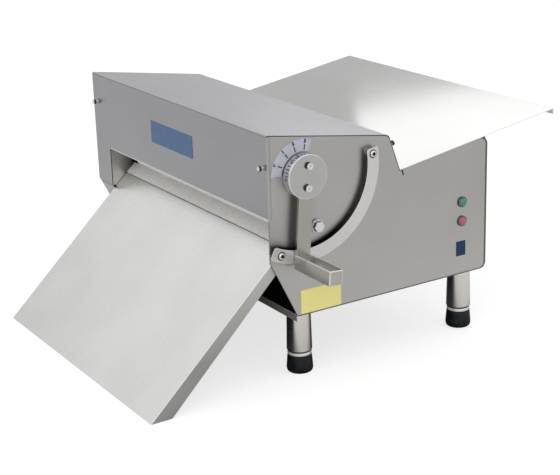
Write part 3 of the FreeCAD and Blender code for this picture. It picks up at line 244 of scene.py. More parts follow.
# The side plates are brushed from front to rear and look a little warmer.
SIDE_STEEL = brushed("warm_brushed_stainless_steel", "B9B7B4", (0.5, 90, 0.5), 0.36, 0.03)
# The right one also has painted light, paler low down, and a painted shadow beside and behind the
# arc.
PANEL_STEEL = brushed("painted_shadow_brushed_stainless_steel", "B9B7B4", (0.5, 90, 0.5), 0.36, 0.03,
                      worn=lever_wear)
# Legs: polished round tube, so narrow upright highlights.
LEG_STEEL = brushed("satin_stainless_tube", "E8E5DE", (40, 40, 0.4), 0.17, 0.02)
# Lever and handle: drawn bar, a shade darker and warmer than the plates.
BAR_STEEL = brushed("drawn_steel_bar", "B2AFA8", (0.4, 0.4, 60), 0.28, 0.03)
HANDLE_STEEL = brushed("drawn_square_steel_bar", "B2AFAA", (60, 0.4, 0.4), 0.24, 0.03)
# The hub and its cap: turned and polished, cooler than the bar.
HUB_STEEL = brushed("turned_stainless_steel", "BEBEBD", (0.5, 60, 60), 0.24, 0.03)
# The hub's wall mirrors the pale room above it and the dark in front of the machine.
WALL_STEEL = brushed("turned_hub_wall_steel", "CBCBCC", (0.6, 60, 60), 0.2, 0.03)
# The arc is paler, with a fine grain across it.
ARC_STEEL = brushed("satin_polished_steel", "DAD9D5", (8, 0.4, 2.5), 0.3, 0.04, 0.004, 0.8)
# Painted highlight: near white and barely metallic, the bevels of bars and sheets, the legs' rings
# and the hood's hem show as thin bright lines.
EDGE_STEEL = brushed("painted_highlight_steel_edge", "F4F4F2", (20, 20, 20), 0.2, 0.02, 0.002, 0.4)
# The handle's rounded edges are painted only a little paler than its sides: a faint painted
# highlight.
SOFT_EDGE = brushed("painted_highlight_bar_edge", "DDDBD7", (20, 20, 20), 0.3, 0.02, 0.002, 0.85)
# Painted light: the tray's edges and its faces that look along x and y are nearly white and barely
# metallic, which lifts even the shaded inner face of its lip, so they vanish against its pale top.
PALE_EDGE = brushed("painted_light_tray_edge", "F6F6F5", (20, 20, 20), 0.5, 0.02, 0.002, 0.15)
# The end of the handle is ground flat, paler than its drawn sides.
END_STEEL = brushed("ground_steel_end", "B9B6B0", (0.4, 8, 0.4), 0.34, 0.02, 0.002, 0.9)
# Painted shade: dark steel on the bevels of the thick side plates, the hood's ends, the arc's
# walls, the leg grooves and the fold gaps stands in for the shadow in these gaps and hollows; it
# draws a line round the plates.
PAINTED_SHADE_STEEL = brushed("painted_shade_steel_edge", "2C2B28", (20, 20, 20), 0.55, 0.05, 0.002, 0.5)
# The rolled edges of the side plates are painted dark: painted shade in place of the floor in
# shadow that they mirror.
SEAM_STEEL = brushed("painted_shade_rolled_edge", "6A6660", (20, 20, 20), 0.4, 0.05, 0.002, 0.8)
# Turned faces: rings of light, slightly duller than the screws.
TURNED = mottled("turned_mild_steel", "A5A5A6", "B4B4B4", 6, 0.25, 0.38, Metallic=1.0)
# The bolt's hexagon and collar are painted dark round their walls: painted shade beside their
# bright faces.
TURNED_DARK = mottled("painted_shade_bolt_steel", "6E6D6B", "8A8987", 3, 0.3, 0.45, Metallic=1.0)
# Screws: bright zinc with small dark wear.
SCREW_STEEL = mottled("zinc_plated_screw_steel", "D4D4D5", "ECECEC", 2, 0.16, 0.28, Metallic=0.7)
# Painted shade: the knurled walls of the cap and thumb screws, the sockets of the arc screws, a
# ring round each arc screw's head and the walls of the buttons' rings are dark, standing in for
# shade in these walls and hollows.
PAINTED_SHADE_SCREW_STEEL = mottled("painted_shade_screw_steel", "2E2D2B", "454440", 1, 0.4, 0.55, Metallic=0.8)
# Chrome rings mirror their surroundings sharply.
CHROME = mottled("chrome_plate", "CFD0D2", "DEDFE0", 5, 0.05, 0.11, Metallic=1.0)
# The rings of the buttons are darker, so the caps stand out.
DARK_CHROME = mottled("black_nickel_plate", "77787B", "8B8C8F", 5, 0.1, 0.18, Metallic=1.0)
# Cast aluminium: pale grey with a fine sand-cast grain.
CAST = mottled("cast_aluminium", "8F9092", "A3A4A5", 4, 0.45, 0.6, 0.05, Metallic=0.9)
# Sintered bronze bushes: brown-gold and slightly dull.
BRONZE = mottled("sintered_bronze", "8C6A3A", "A6824B", 3, 0.3, 0.45, Metallic=1.0)
# Food-grade plastic rollers: off-white with a satin skin.
ROLLER_PLASTIC = mottled("white_acetal_plastic", "E2E1DD", "E8E7E4", 18, 0.3, 0.36)
# Moulded plastic parts inside.
WHITE_PLASTIC = mottled("white_nylon_plastic", "DEDDD8", "EAE9E4", 8, 0.38, 0.5)
BLACK_PLASTIC = mottled("black_nylon_plastic", "1B1C1D", "26272A", 5, 0.35, 0.5, 0.02)
PULLEY_BLACK = mottled("black_glass_filled_nylon", "1D1D1E", "2A2A2B", 3, 0.5, 0.62)
# Rubber feet: black, matt, with a bluish bloom on the flanks.
RUBBER = mottled("moulded_rubber", "070B0D", "141E22", 9, 0.36, 0.56, 0.03, Specular_IOR_Level=0.38)
# The belt: matt black rubber.
BELT = mottled("belt_rubber", "18181A", "232325", 4, 0.6, 0.75)
# Motor enamel: grey-green paint.
ENAMEL = mottled("motor_enamel", "4C5358", "5A6166", 10, 0.35, 0.45, 0.02)
# Anodised dial: pale lavender blue.
DIAL = mottled("anodised_aluminium", "BBBFCC", "C8CCD8", 6, 0.35, 0.5, Metallic=0.5)
# Bare plates with an even enamel.
BLUE = mottled("blue_plate_enamel", "456489", "4D6D93", 15, 0.3, 0.4, Specular_IOR_Level=0.3)
DARK_BLUE = mottled("dark_blue_plate_enamel", "0F2C4E", "1A3B63", 4, 0.3, 0.4,
                    Specular_IOR_Level=0.25)
YELLOW = mottled("yellow_plate_enamel", "ECE38F", "F0E896", 30, 0.35, 0.45)
# The ticks and numerals of the dial are filled with black.
INK = mottled("black_enamel_fill", "16171C", "1E1F25", 3, 0.4, 0.5)
# Button caps: glossy coloured plastic.
GREEN = mottled("green_button_plastic", "1F7F74", "2A8E82", 3, 0.08, 0.14, Coat_Weight=0.6)
RED = mottled("red_button_plastic", "A94B58", "B75B67", 3, 0.08, 0.14, Coat_Weight=0.6)

FINISH = {"brushed_stainless": STEEL, "brushed_side_panels": SIDE_STEEL, "leg_stainless": LEG_STEEL,
          "polished_steel": BAR_STEEL, "turned_steel": TURNED, "screw_steel": SCREW_STEEL,
          "button_chrome": CHROME, "cast_grey": CAST, "bronze_bush": BRONZE,
          "white_roller_plastic": ROLLER_PLASTIC, "white_plastic": WHITE_PLASTIC,
          "black_plastic": BLACK_PLASTIC, "black_pulley": PULLEY_BLACK, "black_rubber": RUBBER,
          "belt_rubber": BELT, "motor_paint": ENAMEL, "pale_blue_dial": DIAL, "blue_plate": BLUE,
          "dark_blue_plate": DARK_BLUE, "yellow_plate": YELLOW, "green_button": GREEN,
          "red_button": RED}
SLOT = {}
for node_name, node_object in frame["nodes"].items():
    SLOT[node_name] = node_object.data.materials[0].name.split(".")[0]


def softened(node, width=0.4, finish=None, edge=None, sides=None, ways=(0,)):
    """A merged copy of a CAD node with small bevels on its sharp edges; it replaces the node.

    Faces that look along x, or along the axes in ways, take the sides' finish where one is given.
    """
    weld, flat, angle = 0.002 * MM, math.radians(0.5), math.radians(30)
    straight = 0.93
    mesh = bpy.data.meshes.new("soft_" + node)
    shape = bmesh.new()
    shape.from_mesh(frame["nodes"][node].data)
    bmesh.ops.remove_doubles(shape, verts=shape.verts, dist=weld)
    bmesh.ops.dissolve_limit(shape, angle_limit=flat, verts=shape.verts, edges=shape.edges)
    shape.to_mesh(mesh)
    shape.free()
    mesh.materials.clear()
    mesh.materials.append(finish or FINISH[SLOT[node]])
    mesh.materials.append(edge or mesh.materials[0])
    if sides:
        mesh.materials.append(sides)
        toward = np.empty(len(mesh.polygons) * 3)
        mesh.polygons.foreach_get("normal", toward)
        along = (np.abs(toward.reshape(-1, 3))[:, list(ways)] > straight).any(1)
        mesh.polygons.foreach_set("material_index", np.where(along, 2, 0))
    piece = bpy.data.objects.new("soft_" + node, mesh)
    bpy.context.scene.collection.objects.link(piece)
    mesh.shade_smooth()
    mesh.set_sharp_from_angle(angle=angle)
    bevel = piece.modifiers.new("edges", "BEVEL")
    bevel.width = width * MM
    bevel.segments = 2
    bevel.limit_method = "ANGLE"
    bevel.angle_limit = angle
    bevel.harden_normals = True
    bevel.material = 1
    dress(piece, node)


def dress(piece, *nodes):
    """Let a piece ride with its CAD nodes and replace them."""
    body = next(b for b, members in frame["record"]["behaviour"]["bodies"].items()
                if nodes[0] in members)
    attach(piece, body)
    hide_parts(*nodes)


def bend_round(points, radius, steps=4):
    """An open line with its inner corners rounded: a quadratic curve of the given reach."""
    made = [points[0]]
    for before, corner, after in zip(points, points[1:], points[2:]):
        before, corner, after = (np.array(p, float) for p in (before, corner, after))
        ends = []
        for other in (before, after):
            away = other - corner
            length = np.hypot(*away)
            ends.append(corner + away / length * min(radius, 0.49 * length))
        share = np.linspace(0, 1, steps + 1)[:, None]
        made += list((1 - share) ** 2 * ends[0] + 2 * share * (1 - share) * corner
                     + share ** 2 * ends[1])
    return np.array([list(p) for p in made] + [list(points[-1])])


def closed_grid(rows, count):
    """Quads between the rows of a grid whose last column joins its first, row by row."""
    row, step = np.meshgrid(np.arange(rows - 1), np.arange(count), indexing="ij")
    after = (step + 1) % count
    return np.stack([row * count + step, row * count + after, (row + 1) * count + after,
                     (row + 1) * count + step], 2).reshape(-1, 4)


def revolved(profile, centre, axis="x", turns=72, shape=None):
    """Each profile point (along, radius) runs round the axis through the centre.

    The point at step t of the turn is (along, radius cos t, radius sin t); shape(t) may
    multiply the radius of the rows, as for a hexagon or a knurl.
    """
    profile = np.array(profile, float)
    turn = np.arange(turns) * TAU / turns
    factor = np.ones(turns) if shape is None else shape(turn)
    radius = profile[:, 1, None] * factor
    along = np.broadcast_to(profile[:, 0, None], radius.shape)
    points = np.stack([along, radius * np.cos(turn), radius * np.sin(turn)], 2).reshape(-1, 3)
    if axis == "z":
        points = points[:, [1, 2, 0]]
    return points * MM + np.array(centre), closed_grid(len(profile), turns)


def block(low, high):
    """A box between two corners."""
    corner = np.array([[(low, high)[i][0], (low, high)[j][1], (low, high)[k][2]]
                       for i in (0, 1) for j in (0, 1) for k in (0, 1)])
    quads = np.array([(0, 1, 3, 2), (4, 6, 7, 5), (0, 4, 5, 1), (2, 3, 7, 6), (0, 2, 6, 4),
                      (1, 5, 7, 3)])
    return corner, quads


def surface(name, parts, *finishes, angle=35.0, index=None):
    """One mesh from several grids of points and quads, with seams and poles closed.

    The index gives each quad's finish, where there is more than one.
    """
    points = np.concatenate([p for p, q in parts])
    shift = np.cumsum([0] + [len(p) for p, q in parts[:-1]])
    quads = np.concatenate([q + s for (p, q), s in zip(parts, shift)])
    mesh = bpy.data.meshes.new(name)
    mesh.from_pydata(points.tolist(), [], quads.tolist())
    for finish in finishes:
        mesh.materials.append(finish)
    if index is not None:
        mesh.polygons.foreach_set("material_index", index)
    shape = bmesh.new()
    shape.from_mesh(mesh)
    weld = 0.0005 * MM
    bmesh.ops.remove_doubles(shape, verts=shape.verts, dist=weld)
    shape.to_mesh(mesh)
    shape.free()
    mesh.shade_smooth()
    mesh.set_sharp_from_angle(angle=math.radians(angle))
    piece = bpy.data.objects.new(name, mesh)
    bpy.context.scene.collection.objects.link(piece)
    return piece


def middle(node):
    """Centre of a CAD node's box, in metres."""
    low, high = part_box(node)
    return np.array((low + high) / 2)


def hexagon(turn):
    """Radius factor of a hexagon whose flats lie at 1."""
    return 1 / np.cos((turn + TAU / 12) % (TAU / 6) - TAU / 12)


def screw_head(radius, height, socket):
    """Profiles of a button-head screw that stands at 0: the dome, and its hexagon socket."""
    share = np.linspace(0, 1, 9)
    land = socket * 1.25
    dome = np.stack([height * np.sin(share * TAU / 4) ** 0.9,
                     radius - (radius - land) * (1 - np.cos(share * TAU / 4))], 1)
    floor = height * 0.25
    outer = np.vstack([[[0, 0]], [[0, radius * 0.96]], dome])
    rim = [[height, land], [height, socket * 1.02], [height - 0.2, socket], [floor, socket],
           [floor, 0]]
    return outer, np.array(rim)


HUB_AXIS = middle("cap_disc")[1:]
PANEL_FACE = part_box("right_side_panel")[1].x
# The mouth's upper lip lies this far above the lower axle, in millimetres.
MOUTH_RISE = 27.1
# Where the dial's ticks point, in degrees about the hub's axis.
DIAL_TURNS = (82, 106, 129, 155)
# How far the thin sheets and lines that are added to a face stand proud of it, and reach into it.
PROUD, SUNK = 0.12, 0.2


def dial_marks():
    """Ticks and plain numerals on the dial, small ticks on the hub's rim, in millimetres."""
    tick_start, tick_end, tick_width = 43.5, 53.2, 2.2
    numeral_reach, numeral_size, numeral_deep, numeral_bold = 58.8, 8.6, 0.04, 0.7
    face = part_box("dial_scale")[1].x
    parts = [spoke(face, tick_start, tick_end, turn, tick_width) for turn in DIAL_TURNS]
    piece = surface("dial_ticks", parts, INK)
    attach(piece, "frame")
    for number, turn in enumerate(reversed(DIAL_TURNS)):
        curve = bpy.data.curves.new("numeral", "FONT")
        curve.body, curve.size = str(number), numeral_size * MM
        curve.extrude, curve.offset = numeral_deep * MM, numeral_bold * MM
        curve.align_x = curve.align_y = "CENTER"
        text = bpy.data.objects.new("numeral_curve", curve)
        bpy.context.scene.collection.objects.link(text)
        mesh = bpy.data.meshes.new_from_object(text)
        bpy.data.objects.remove(text)
        lean = math.radians(turn - 90)
        place = Matrix.Translation((face, *spot(numeral_reach, turn)))
        mesh.transform(place @ Matrix.Rotation(lean, 4, "X")
                       @ Matrix(((0, 0, 1, 0), (1, 0, 0, 0), (0, 1, 0, 0), (0, 0, 0, 1))))
        mesh.materials.clear()
        mesh.materials.append(INK)
        sign = bpy.data.objects.new("numeral_%d" % number, mesh)
        bpy.context.scene.collection.objects.link(sign)
        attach(sign, "frame")
    hub_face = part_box("hub")[1].x
    rim, rim_width, inset = (39.3, 39.62), 1.7, 3.0
    first, last, pitch = 100, 190, 9
    parts = []
    for turn in range(first, last, pitch):
        long = 8.0 if (turn - first) % (2 * pitch) else 5.0
        parts.append(spoke(hub_face - (inset + long) * MM, *rim, turn, rim_width, long))
    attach(surface("hub_ticks", parts, INK), "gap_lever")


def spot(reach, turn):
    """The (y, z) place at a reach in millimetres and an angle in degrees about the hub's axis."""
    angle = math.radians(turn)
    return HUB_AXIS + reach * MM * np.array([math.cos(angle), math.sin(angle)])


def spoke(face, start, end, turn, width, deep=0.06):
    """A thin bar that points outwards from the hub's axis, standing on a face."""
    corner, quads = block((0, start * MM, -width / 2 * MM), (deep * MM, end * MM, width / 2 * MM))
    angle = math.radians(turn)
    y, z = corner[:, 1], corner[:, 2]
    turned = np.stack([corner[:, 0] + face, y * math.cos(angle) - z * math.sin(angle) + HUB_AXIS[0],
                       y * math.sin(angle) + z * math.cos(angle) + HUB_AXIS[1]], 1)
    return turned, quads


def screw_places(node):
    """Where the upper and the lower screw of a node stand on the face that carries them."""
    points = np.array([v.co for v in frame["nodes"][node].data.vertices])
    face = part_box({"cap_screws": "cap_disc", "arc_screws": "arc_guide"}[node])[1].x
    for side in (points[:, 2] > middle(node)[2], points[:, 2] <= middle(node)[2]):
        centre = (points[side].min(0) + points[side].max(0)) / 2
        yield face, centre[1], centre[2]


def screws():
    """Button heads on the arc, knurled cylinder heads on the cap, with dark hexagon sockets; the
    dark sockets, knurled walls and a ring round each button head are painted shade.

    The profiles are (along, radius) points in millimetres, measured out from the face.
    """
    bright, dark = [], []
    outer, rim = screw_head(6.3, 3.4, 3.3)
    # A thin dark ring round each arc screw's head: a painted shadow.
    groove = [(0, 6.2), (0.15, 6.2), (0.15, 7.9), (0, 7.9)]
    for at in screw_places("arc_screws"):
        bright += [revolved(outer, at), revolved(rim[:2], at)]
        dark += [revolved(rim[1:], at, shape=hexagon), revolved(groove, at)]
    dress(surface("button_heads_arc", bright, SCREW_STEEL), "arc_screws")
    sockets = surface("sockets_arc", dark, PAINTED_SHADE_SCREW_STEEL)
    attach(sockets, "frame")
    bright, dark = [], []
    top = bend_round([(4.7, 6.3), (5.35, 6.3), (5.35, 2.7), (5.2, 2.6)], 0.5)
    top = np.vstack([top, [(5.2, 2.5)]])
    wall = [(0, 0), (0, 6.3), (4.7, 6.3)]
    socket = [(5.2, 2.5), (5.1, 2.3), (3.6, 2.3), (3.6, 0)]
    for at in screw_places("cap_screws"):
        bright += [revolved(top, at), revolved(socket, at, shape=hexagon)]
        dark.append(revolved(wall, at, turns=180, shape=knurl))
    dress(surface("cylinder_heads_cap", bright, SCREW_STEEL), "cap_screws")
    walls = surface("knurled_walls_cap", dark, PAINTED_SHADE_SCREW_STEEL)
    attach(walls, "gap_lever")


def knurl(turn):
    """Radius factor of a knurled rim with 30 ridges, each 2 % of the radius high."""
    return 1 + 0.02 * np.cos(30 * turn)


def legs():
    """Stainless legs and rubber feet, each one round surface given as (height, radius) points.

    A leg starts on its foot with a ring painted pale as a highlight, then a groove painted dark as
    shade, then the tapering tube.
    """
    ring_end, groove_end, tube_start = 6.3, 8.2, 8.9
    ring_radius, groove_radius, low_radius, top_radius = 22.3, 21.0, 23.6, 21.7
    into_pan, turns = 12, 96
    for place in ("front_right", "front_left", "rear_right", "rear_left"):
        leg, foot = "leg_" + place, "foot_" + place
        x, y, _ = middle(foot)
        floor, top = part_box(foot)[1].z / MM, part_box("base_pan")[0].z / MM + into_pan
        profile = bend_round([(floor, 0), (floor, ring_radius), (floor + ring_end, ring_radius),
                              (floor + ring_end, groove_radius),
                              (floor + groove_end, groove_radius),
                              (floor + tube_start, low_radius), (top, top_radius)], 0.7)
        points, quads = revolved(np.vstack([profile, [[top, 0]]]), (x, y, 0), "z", turns)
        height = points[quads[:, 0], 2]
        ring = height < (floor + ring_end - 0.4) * MM
        groove = height < (floor + groove_end + 0.2) * MM
        piece = surface("turned_" + leg, [(points, quads)], LEG_STEEL, EDGE_STEEL, PAINTED_SHADE_STEEL,
                        index=np.where(ring, 1, np.where(groove, 2, 0)).astype(np.int32))
        dress(piece, leg)
        profile = bend_round([(0, 0), (0, 20.3), (2.0, 23.3), (7, 24.7), (12.5, 24.4),
                              (floor - 6, 23.0), (floor - 3, 22.5), (floor - 1.5, 22.2),
                              (floor, 21.9), (floor, 0)], 1.6)
        piece = surface("moulded_" + foot, [revolved(profile, (x, y, 0), "z", turns)], RUBBER)
        dress(piece, foot)


def carried(outline, heights):
    """The same closed outline (x, y) at each height: point (x, y, z) for every pair."""
    outline, heights = np.array(outline, float), np.array(heights, float)
    count = len(outline)
    points = np.concatenate([np.tile(outline, (len(heights), 1)),
                             np.repeat(heights, count)[:, None]], 1)
    return points * MM, closed_grid(len(heights), count)


def corner_flange():
    """The hood's front sheet is folded round the corner on to each side, with a dark strip behind
    it: a painted shadow in the gap.
    """
    rise, wide, over_front, below_top = 0.7, 5.4, 2.5, 3.2
    gap_start, gap_end = wide - 0.3, wide + 0.6
    low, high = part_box("hood")
    mouth = middle("lower_axle")[2] / MM + MOUTH_RISE
    for side, name in ((1, "right"), (-1, "left")):
        corner = ((high.x if side > 0 else low.x) / MM, low.y / MM)
        line = bend_round([(-over_front, 0.05), (-over_front, -PROUD), (rise, -PROUD), (rise, wide),
                           (-SUNK, wide)], 0.6, 3)
        line = (line * (side, 1) + corner)[::side]
        bottom = mouth if side > 0 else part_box("belt_guard")[1].z / MM + 2
        top = high.z / MM - below_top
        piece = surface("folded_edge_" + name, [carried(line, np.linspace(bottom, top, 6))],
                        SIDE_STEEL, angle=60)
        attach(piece, "frame")
        # A dark strip on the side plate behind the fold: a painted shadow in the gap.
        gap = np.array([(-SUNK, gap_start), (PROUD, gap_start), (PROUD, gap_end), (-SUNK, gap_end)])
        gap = (gap * (side, 1) + corner)[::side]
        shadow = surface("fold_gap_" + name, [carried(gap, np.linspace(bottom, top, 2))], PAINTED_SHADE_STEEL)
        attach(shadow, "frame")


def front_hem():
    """The hood's front ends below in a round hem painted near white as a highlight, an ellipse
    carried along x.
    """
    deep, tall, back, up = 1.1, 1.0, 0.75, 0.9
    low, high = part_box("hood")
    bottom = middle("lower_axle")[2] / MM + MOUTH_RISE
    left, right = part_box("inner_side_plate")[1].x / MM, high.x / MM
    turn = np.linspace(0, TAU, 25)[:-1]
    section = np.stack([low.y / MM + back + deep * np.cos(turn),
                        bottom + up + tall * np.sin(turn)], 1)
    points, quads = carried(section, np.linspace(left + 0.5, right - 0.3, 2))
    piece = surface("round_hem", [(points[:, [2, 0, 1]], quads)], EDGE_STEEL, angle=60)
    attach(piece, "frame")


def panel_seams():
    """A rolled edge painted dark as shade along the bottom, 2.2 mm wide, and the rear, 4.4 mm, of
    each side panel.

    At every point of the panel's outline stands the same four-cornered section, turned so
    that it lies on the face and reaches inwards.
    """
    corner, narrow = 20, 2.2
    for name, side in (("right_side_panel", 1), ("left_side_panel", -1)):
        points = np.array([v.co for v in frame["nodes"][name].data.vertices]) / MM
        face = side * (points[:, 0] * side).max()
        low, high = points[:, 1:].min(0), points[:, 1:].max(0)
        rim = points[np.abs(points[:, 0] - face) < 0.05, 1:]
        rear = rim[(rim[:, 0] > high[0] - corner) | (rim[:, 1] < low[1] + 0.1)]
        away = rear - (high[0] - 60, low[1] + 60)
        order = np.argsort(np.arctan2(away[:, 0], -away[:, 1]))
        first = np.unique(rear[order].round(3), axis=0, return_index=True)[1]
        line = rear[order][np.sort(first)]
        along = np.gradient(line, axis=0)
        along /= np.linalg.norm(along, axis=1)[:, None]
        inward = np.stack([-along[:, 1], along[:, 0]], 1)
        across = inward * narrow * (1 + np.abs(along[:, 1:]))
        section = ((-SUNK, 0), (PROUD, 0), (PROUD, 1), (-SUNK, 1))
        rows = [np.column_stack([np.full(len(line), face + side * rise), line + across * deep])
                for rise, deep in section]
        made = np.stack(rows, 1).reshape(-1, 3) * MM
        quads = closed_grid(len(line), len(section))[:, ::side]
        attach(surface("rolled_edge_" + name, [(made, quads)], SEAM_STEEL, angle=60), "frame")


def thumb_screws():
    """Knurled thumb screws on the hood's front and rear flap, each along its sheet's normal."""
    length, turns = 8.5, 132
    flap_lean = math.radians(19.65)
    points = np.array([v.co for v in frame["nodes"]["hood_screws"].data.vertices])
    head = bend_round([(-9.3, 0), (-9.3, 3.4), (-8.4, 4.6), (-3.9, 4.6), (-3.2, 3.1), (0.6, 3.1)],
                      0.4)
    wall = np.repeat((head[:-1, 1] > 4.3) & (head[1:, 1] > 4.3), turns)
    parts = []
    for right in (False, True):
        for rear in (False, True):
            group = points[((points[:, 0] > 0.0) == right) & ((points[:, 1] > 0.0) == rear)]
            lean = math.pi + flap_lean if rear else 0.0
            outward = np.array([0, -math.cos(lean), -math.sin(lean)])
            made, quads = revolved(head, (0, 0, 0), turns=turns, shape=knurl)
            made = made[:, [1, 0, 2]] @ np.array(Matrix.Rotation(lean, 3, "X").transposed())
            across = group - np.outer(group @ outward, outward)
            foot = (across.min(0) + across.max(0)) / 2
            base = foot + outward * ((group @ outward).max() - length * MM)
            parts.append((made + base, quads[:, ::-1]))
    # The knurled rims are dark: painted shade.
    piece = surface("knurled_hood_screws", parts, SCREW_STEEL, PAINTED_SHADE_SCREW_STEEL, angle=30,
                    index=np.tile(wall, 4).astype(np.int32))
    dress(piece, "hood_screws")


def rounded(wide, tall, radius, steps=6):
    """A rectangle of half sizes wide and tall with quarter circles for corners, closed."""
    turn = np.linspace(0, TAU / 4, steps + 1)
    centre = np.array([(1, 1), (-1, 1), (-1, -1), (1, -1)]) * (wide - radius, tall - radius)
    arcs = [c + radius * np.stack([np.cos(turn + i * TAU / 4), np.sin(turn + i * TAU / 4)], 1)
            for i, c in enumerate(centre)]
    return np.concatenate(arcs)


def handle_bar():
    """The square handle: a rounded square carried along x, drawn in by a quarter circle."""
    end_round, corner_round = 2.0, 2.2
    lean = math.atan2(*(HUB_AXIS - middle("handle")[1:]))
    down = np.array([0, -math.sin(lean), -math.cos(lean)])
    across = np.array([0, math.cos(lean), -math.sin(lean)])
    points = np.array([v.co for v in frame["nodes"]["handle"].data.vertices])
    spans = [points @ way for way in (np.array([1, 0, 0]), across, down)]
    low, high = [np.array([pick(s) for s in spans]) / MM for pick in (np.min, np.max)]
    wide, tall = (high - low)[1:] / 2
    path = [(low[0], 0.0)]
    for turn in np.linspace(0, TAU / 4, 6):
        path.append((high[0] - end_round * (1 - math.sin(turn)), end_round * (1 - math.cos(turn))))
    outlines = [rounded(wide - step, tall - step, corner_round - step) for _, step in path]
    around = len(outlines[0])
    rows = [np.column_stack([np.full(around, x), outline])
            for (x, _), outline in zip(path, outlines)]
    rows = [rows[0] * (1, 0, 0)] + rows + [rows[-1] * (1, 0, 0)]
    grid = np.concatenate(rows) + (0, *((high + low)[1:] / 2))
    made = (grid[:, :1] * (1, 0, 0) + grid[:, 1:2] * across + grid[:, 2:] * down) * MM
    quads = closed_grid(len(rows), around)[:, [0, 3, 2, 1]]
    row, step = np.divmod(np.arange(len(quads)), around)
    side = around // 4
    index = np.where(row == len(rows) - 2, 2, np.where((row > 1) | (step % side < side - 1), 1, 0))
    # The rounded corners take a faint painted highlight.
    piece = surface("square_handle", [(made, quads)], HANDLE_STEEL, SOFT_EDGE, END_STEEL,
                    index=index.astype(np.int32))
    dress(piece, "handle")


def button_tops():
    """Glossy caps in dark rings, each domed like the end of an ellipse."""
    dome_start, dome_height, inside = -0.6, 4.6, -10
    for node, finish in (("start_button", GREEN), ("stop_button", RED)):
        low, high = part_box(node)
        centre = middle(node)
        share = np.linspace(0, 1, 14)
        rise, radius = (high.x - PANEL_FACE) / MM, (high.y - low.y) / 2 / MM
        dome = np.stack([rise + dome_start + dome_height * np.sin(share * TAU / 4),
                         radius * np.cos(share * TAU / 4)], 1)
        body = np.vstack([[[inside, 0], [inside, radius]], dome])
        body[-1, 1] = 0
        made = revolved(body, (PANEL_FACE, centre[1], centre[2]))
        piece = surface("domed_" + node, [made], finish)
        dress(piece, node)


legs()
screws()
thumb_screws()
button_tops()
dial_marks()
corner_flange()
front_hem()
panel_seams()
handle_bar()
# For each node: the bevel's width, then the finishes of the faces, the bevels and the sides.
# Among these, the dark bevels and walls of the plates, hood and arc and the dark walls of the bolts
# and button rings are painted shade, the tray's pale edges painted light, and the near-white bevels
# painted highlights.
SOFTENED = {"hood": (0.6, None, None, PAINTED_SHADE_STEEL),
            "right_side_panel": (1.9, PANEL_STEEL, PAINTED_SHADE_STEEL),
            "left_side_panel": (1.9, None, PAINTED_SHADE_STEEL),
            "infeed_tray": (0.5, TRAY_STEEL, PALE_EDGE, PALE_EDGE, (0, 1)),
            "discharge_slide": (0.6, SLIDE_STEEL, EDGE_STEEL, RIM_STEEL),
            "base_pan": (0.9, PAN_STEEL, EDGE_STEEL, LIP_STEEL, (1,)),
            "belt_guard": (0.4,), "rear_panel": (0.4,),
            "inner_side_plate": (0.4, None, None, MOUTH_STEEL),
            "lever_bar": (0.8, BAR_STEEL, EDGE_STEEL),
            "arc_guide": (1.3, PAINTED_SHADE_STEEL, EDGE_STEEL, ARC_STEEL), "hub": (0.8, WALL_STEEL),
            "cap_disc": (2.0, HUB_STEEL, EDGE_STEEL), "dial_scale": (0.2,),
            "arc_spacers": (0.4,), "axle_bolts": (0.5, TURNED_DARK, SCREW_STEEL, SCREW_STEEL),
            "button_bezels": (0.3, PAINTED_SHADE_SCREW_STEEL, DARK_CHROME, DARK_CHROME),
            "blue_front_plate": (0.2,), "blue_side_plate": (0.2,), "yellow_side_plate": (0.2,)}
for node_name, options in SOFTENED.items():
    softened(node_name, *options)
for node_name, node_object in frame["nodes"].items():
    if not node_object.hide_render:
        for index in range(len(node_object.data.materials)):
            node_object.material_slots[index].link = "OBJECT"
            node_object.material_slots[index].material = FINISH[SLOT[node_name]]


def lamp(name, place, aim, size, power, colour):
    """A rectangular area lamp of a width and a height at a place, turned towards the aim."""
    data = bpy.data.lights.new(name, "AREA")
    data.shape, data.energy, data.color = "RECTANGLE", power, linear(colour)[:3]
    data.size, data.size_y = size
    light = bpy.data.objects.new(name, data)
    bpy.context.scene.collection.objects.link(light)
    light.location = place
    light.rotation_mode = "QUATERNION"
    light.rotation_quaternion = (Vector(aim) - Vector(place)).to_track_quat("-Z", "Y")
    light.visible_camera = False


def rays(tree, *kinds):
    """One where a ray is of one of the kinds."""
    path = add(tree, "LightPath")
    made = path.outputs[kinds[0]]
    for kind in kinds[1:]:
        made = add(tree, "Math", {"operation": "MAXIMUM"}, i0=made, i1=path.outputs[kind])
        made = made.outputs[0]
    return made


def surroundings():
    """White to the camera and in mirrors, darker at the front left, and a plain pale light."""
    world = bpy.data.worlds.new("studio")
    bpy.context.scene.world = world
    world.use_nodes = True
    tree = world.node_tree
    tree.nodes.clear()
    way = add(tree, "TexCoord")
    toward = add(tree, "VectorMath", {"operation": "DOT_PRODUCT"}, i0=way.outputs["Generated"],
                 i1=(-0.75, -0.66, 0.0))
    height = add(tree, "SeparateXYZ", None, Vector=way.outputs["Generated"]).outputs["Z"]
    darker = product(tree, ramp(tree, height, 1.0, 0.0, 0.12, 0.4),
                     ramp(tree, toward.outputs["Value"], 0.0, 0.55, 0.2, 0.9))
    mirror = difference(tree, ramp(tree, height, 0.62, 1.0, 0.05, 0.38), darker)
    seen = rays(tree, "Is Glossy Ray", "Is Transmission Ray")
    level = add(tree, "Mix", {"data_type": "FLOAT"}, i0=seen, i2=0.85, i3=mirror)
    level = add(tree, "Mix", {"data_type": "FLOAT"}, i0=rays(tree, "Is Camera Ray"),
                i2=level.outputs[0], i3=1.0)
    sky = add(tree, "Background", None, Color=(1, 1, 1, 1), Strength=level.outputs[0])
    add(tree, "OutputWorld", None, Surface=sky.outputs[0])


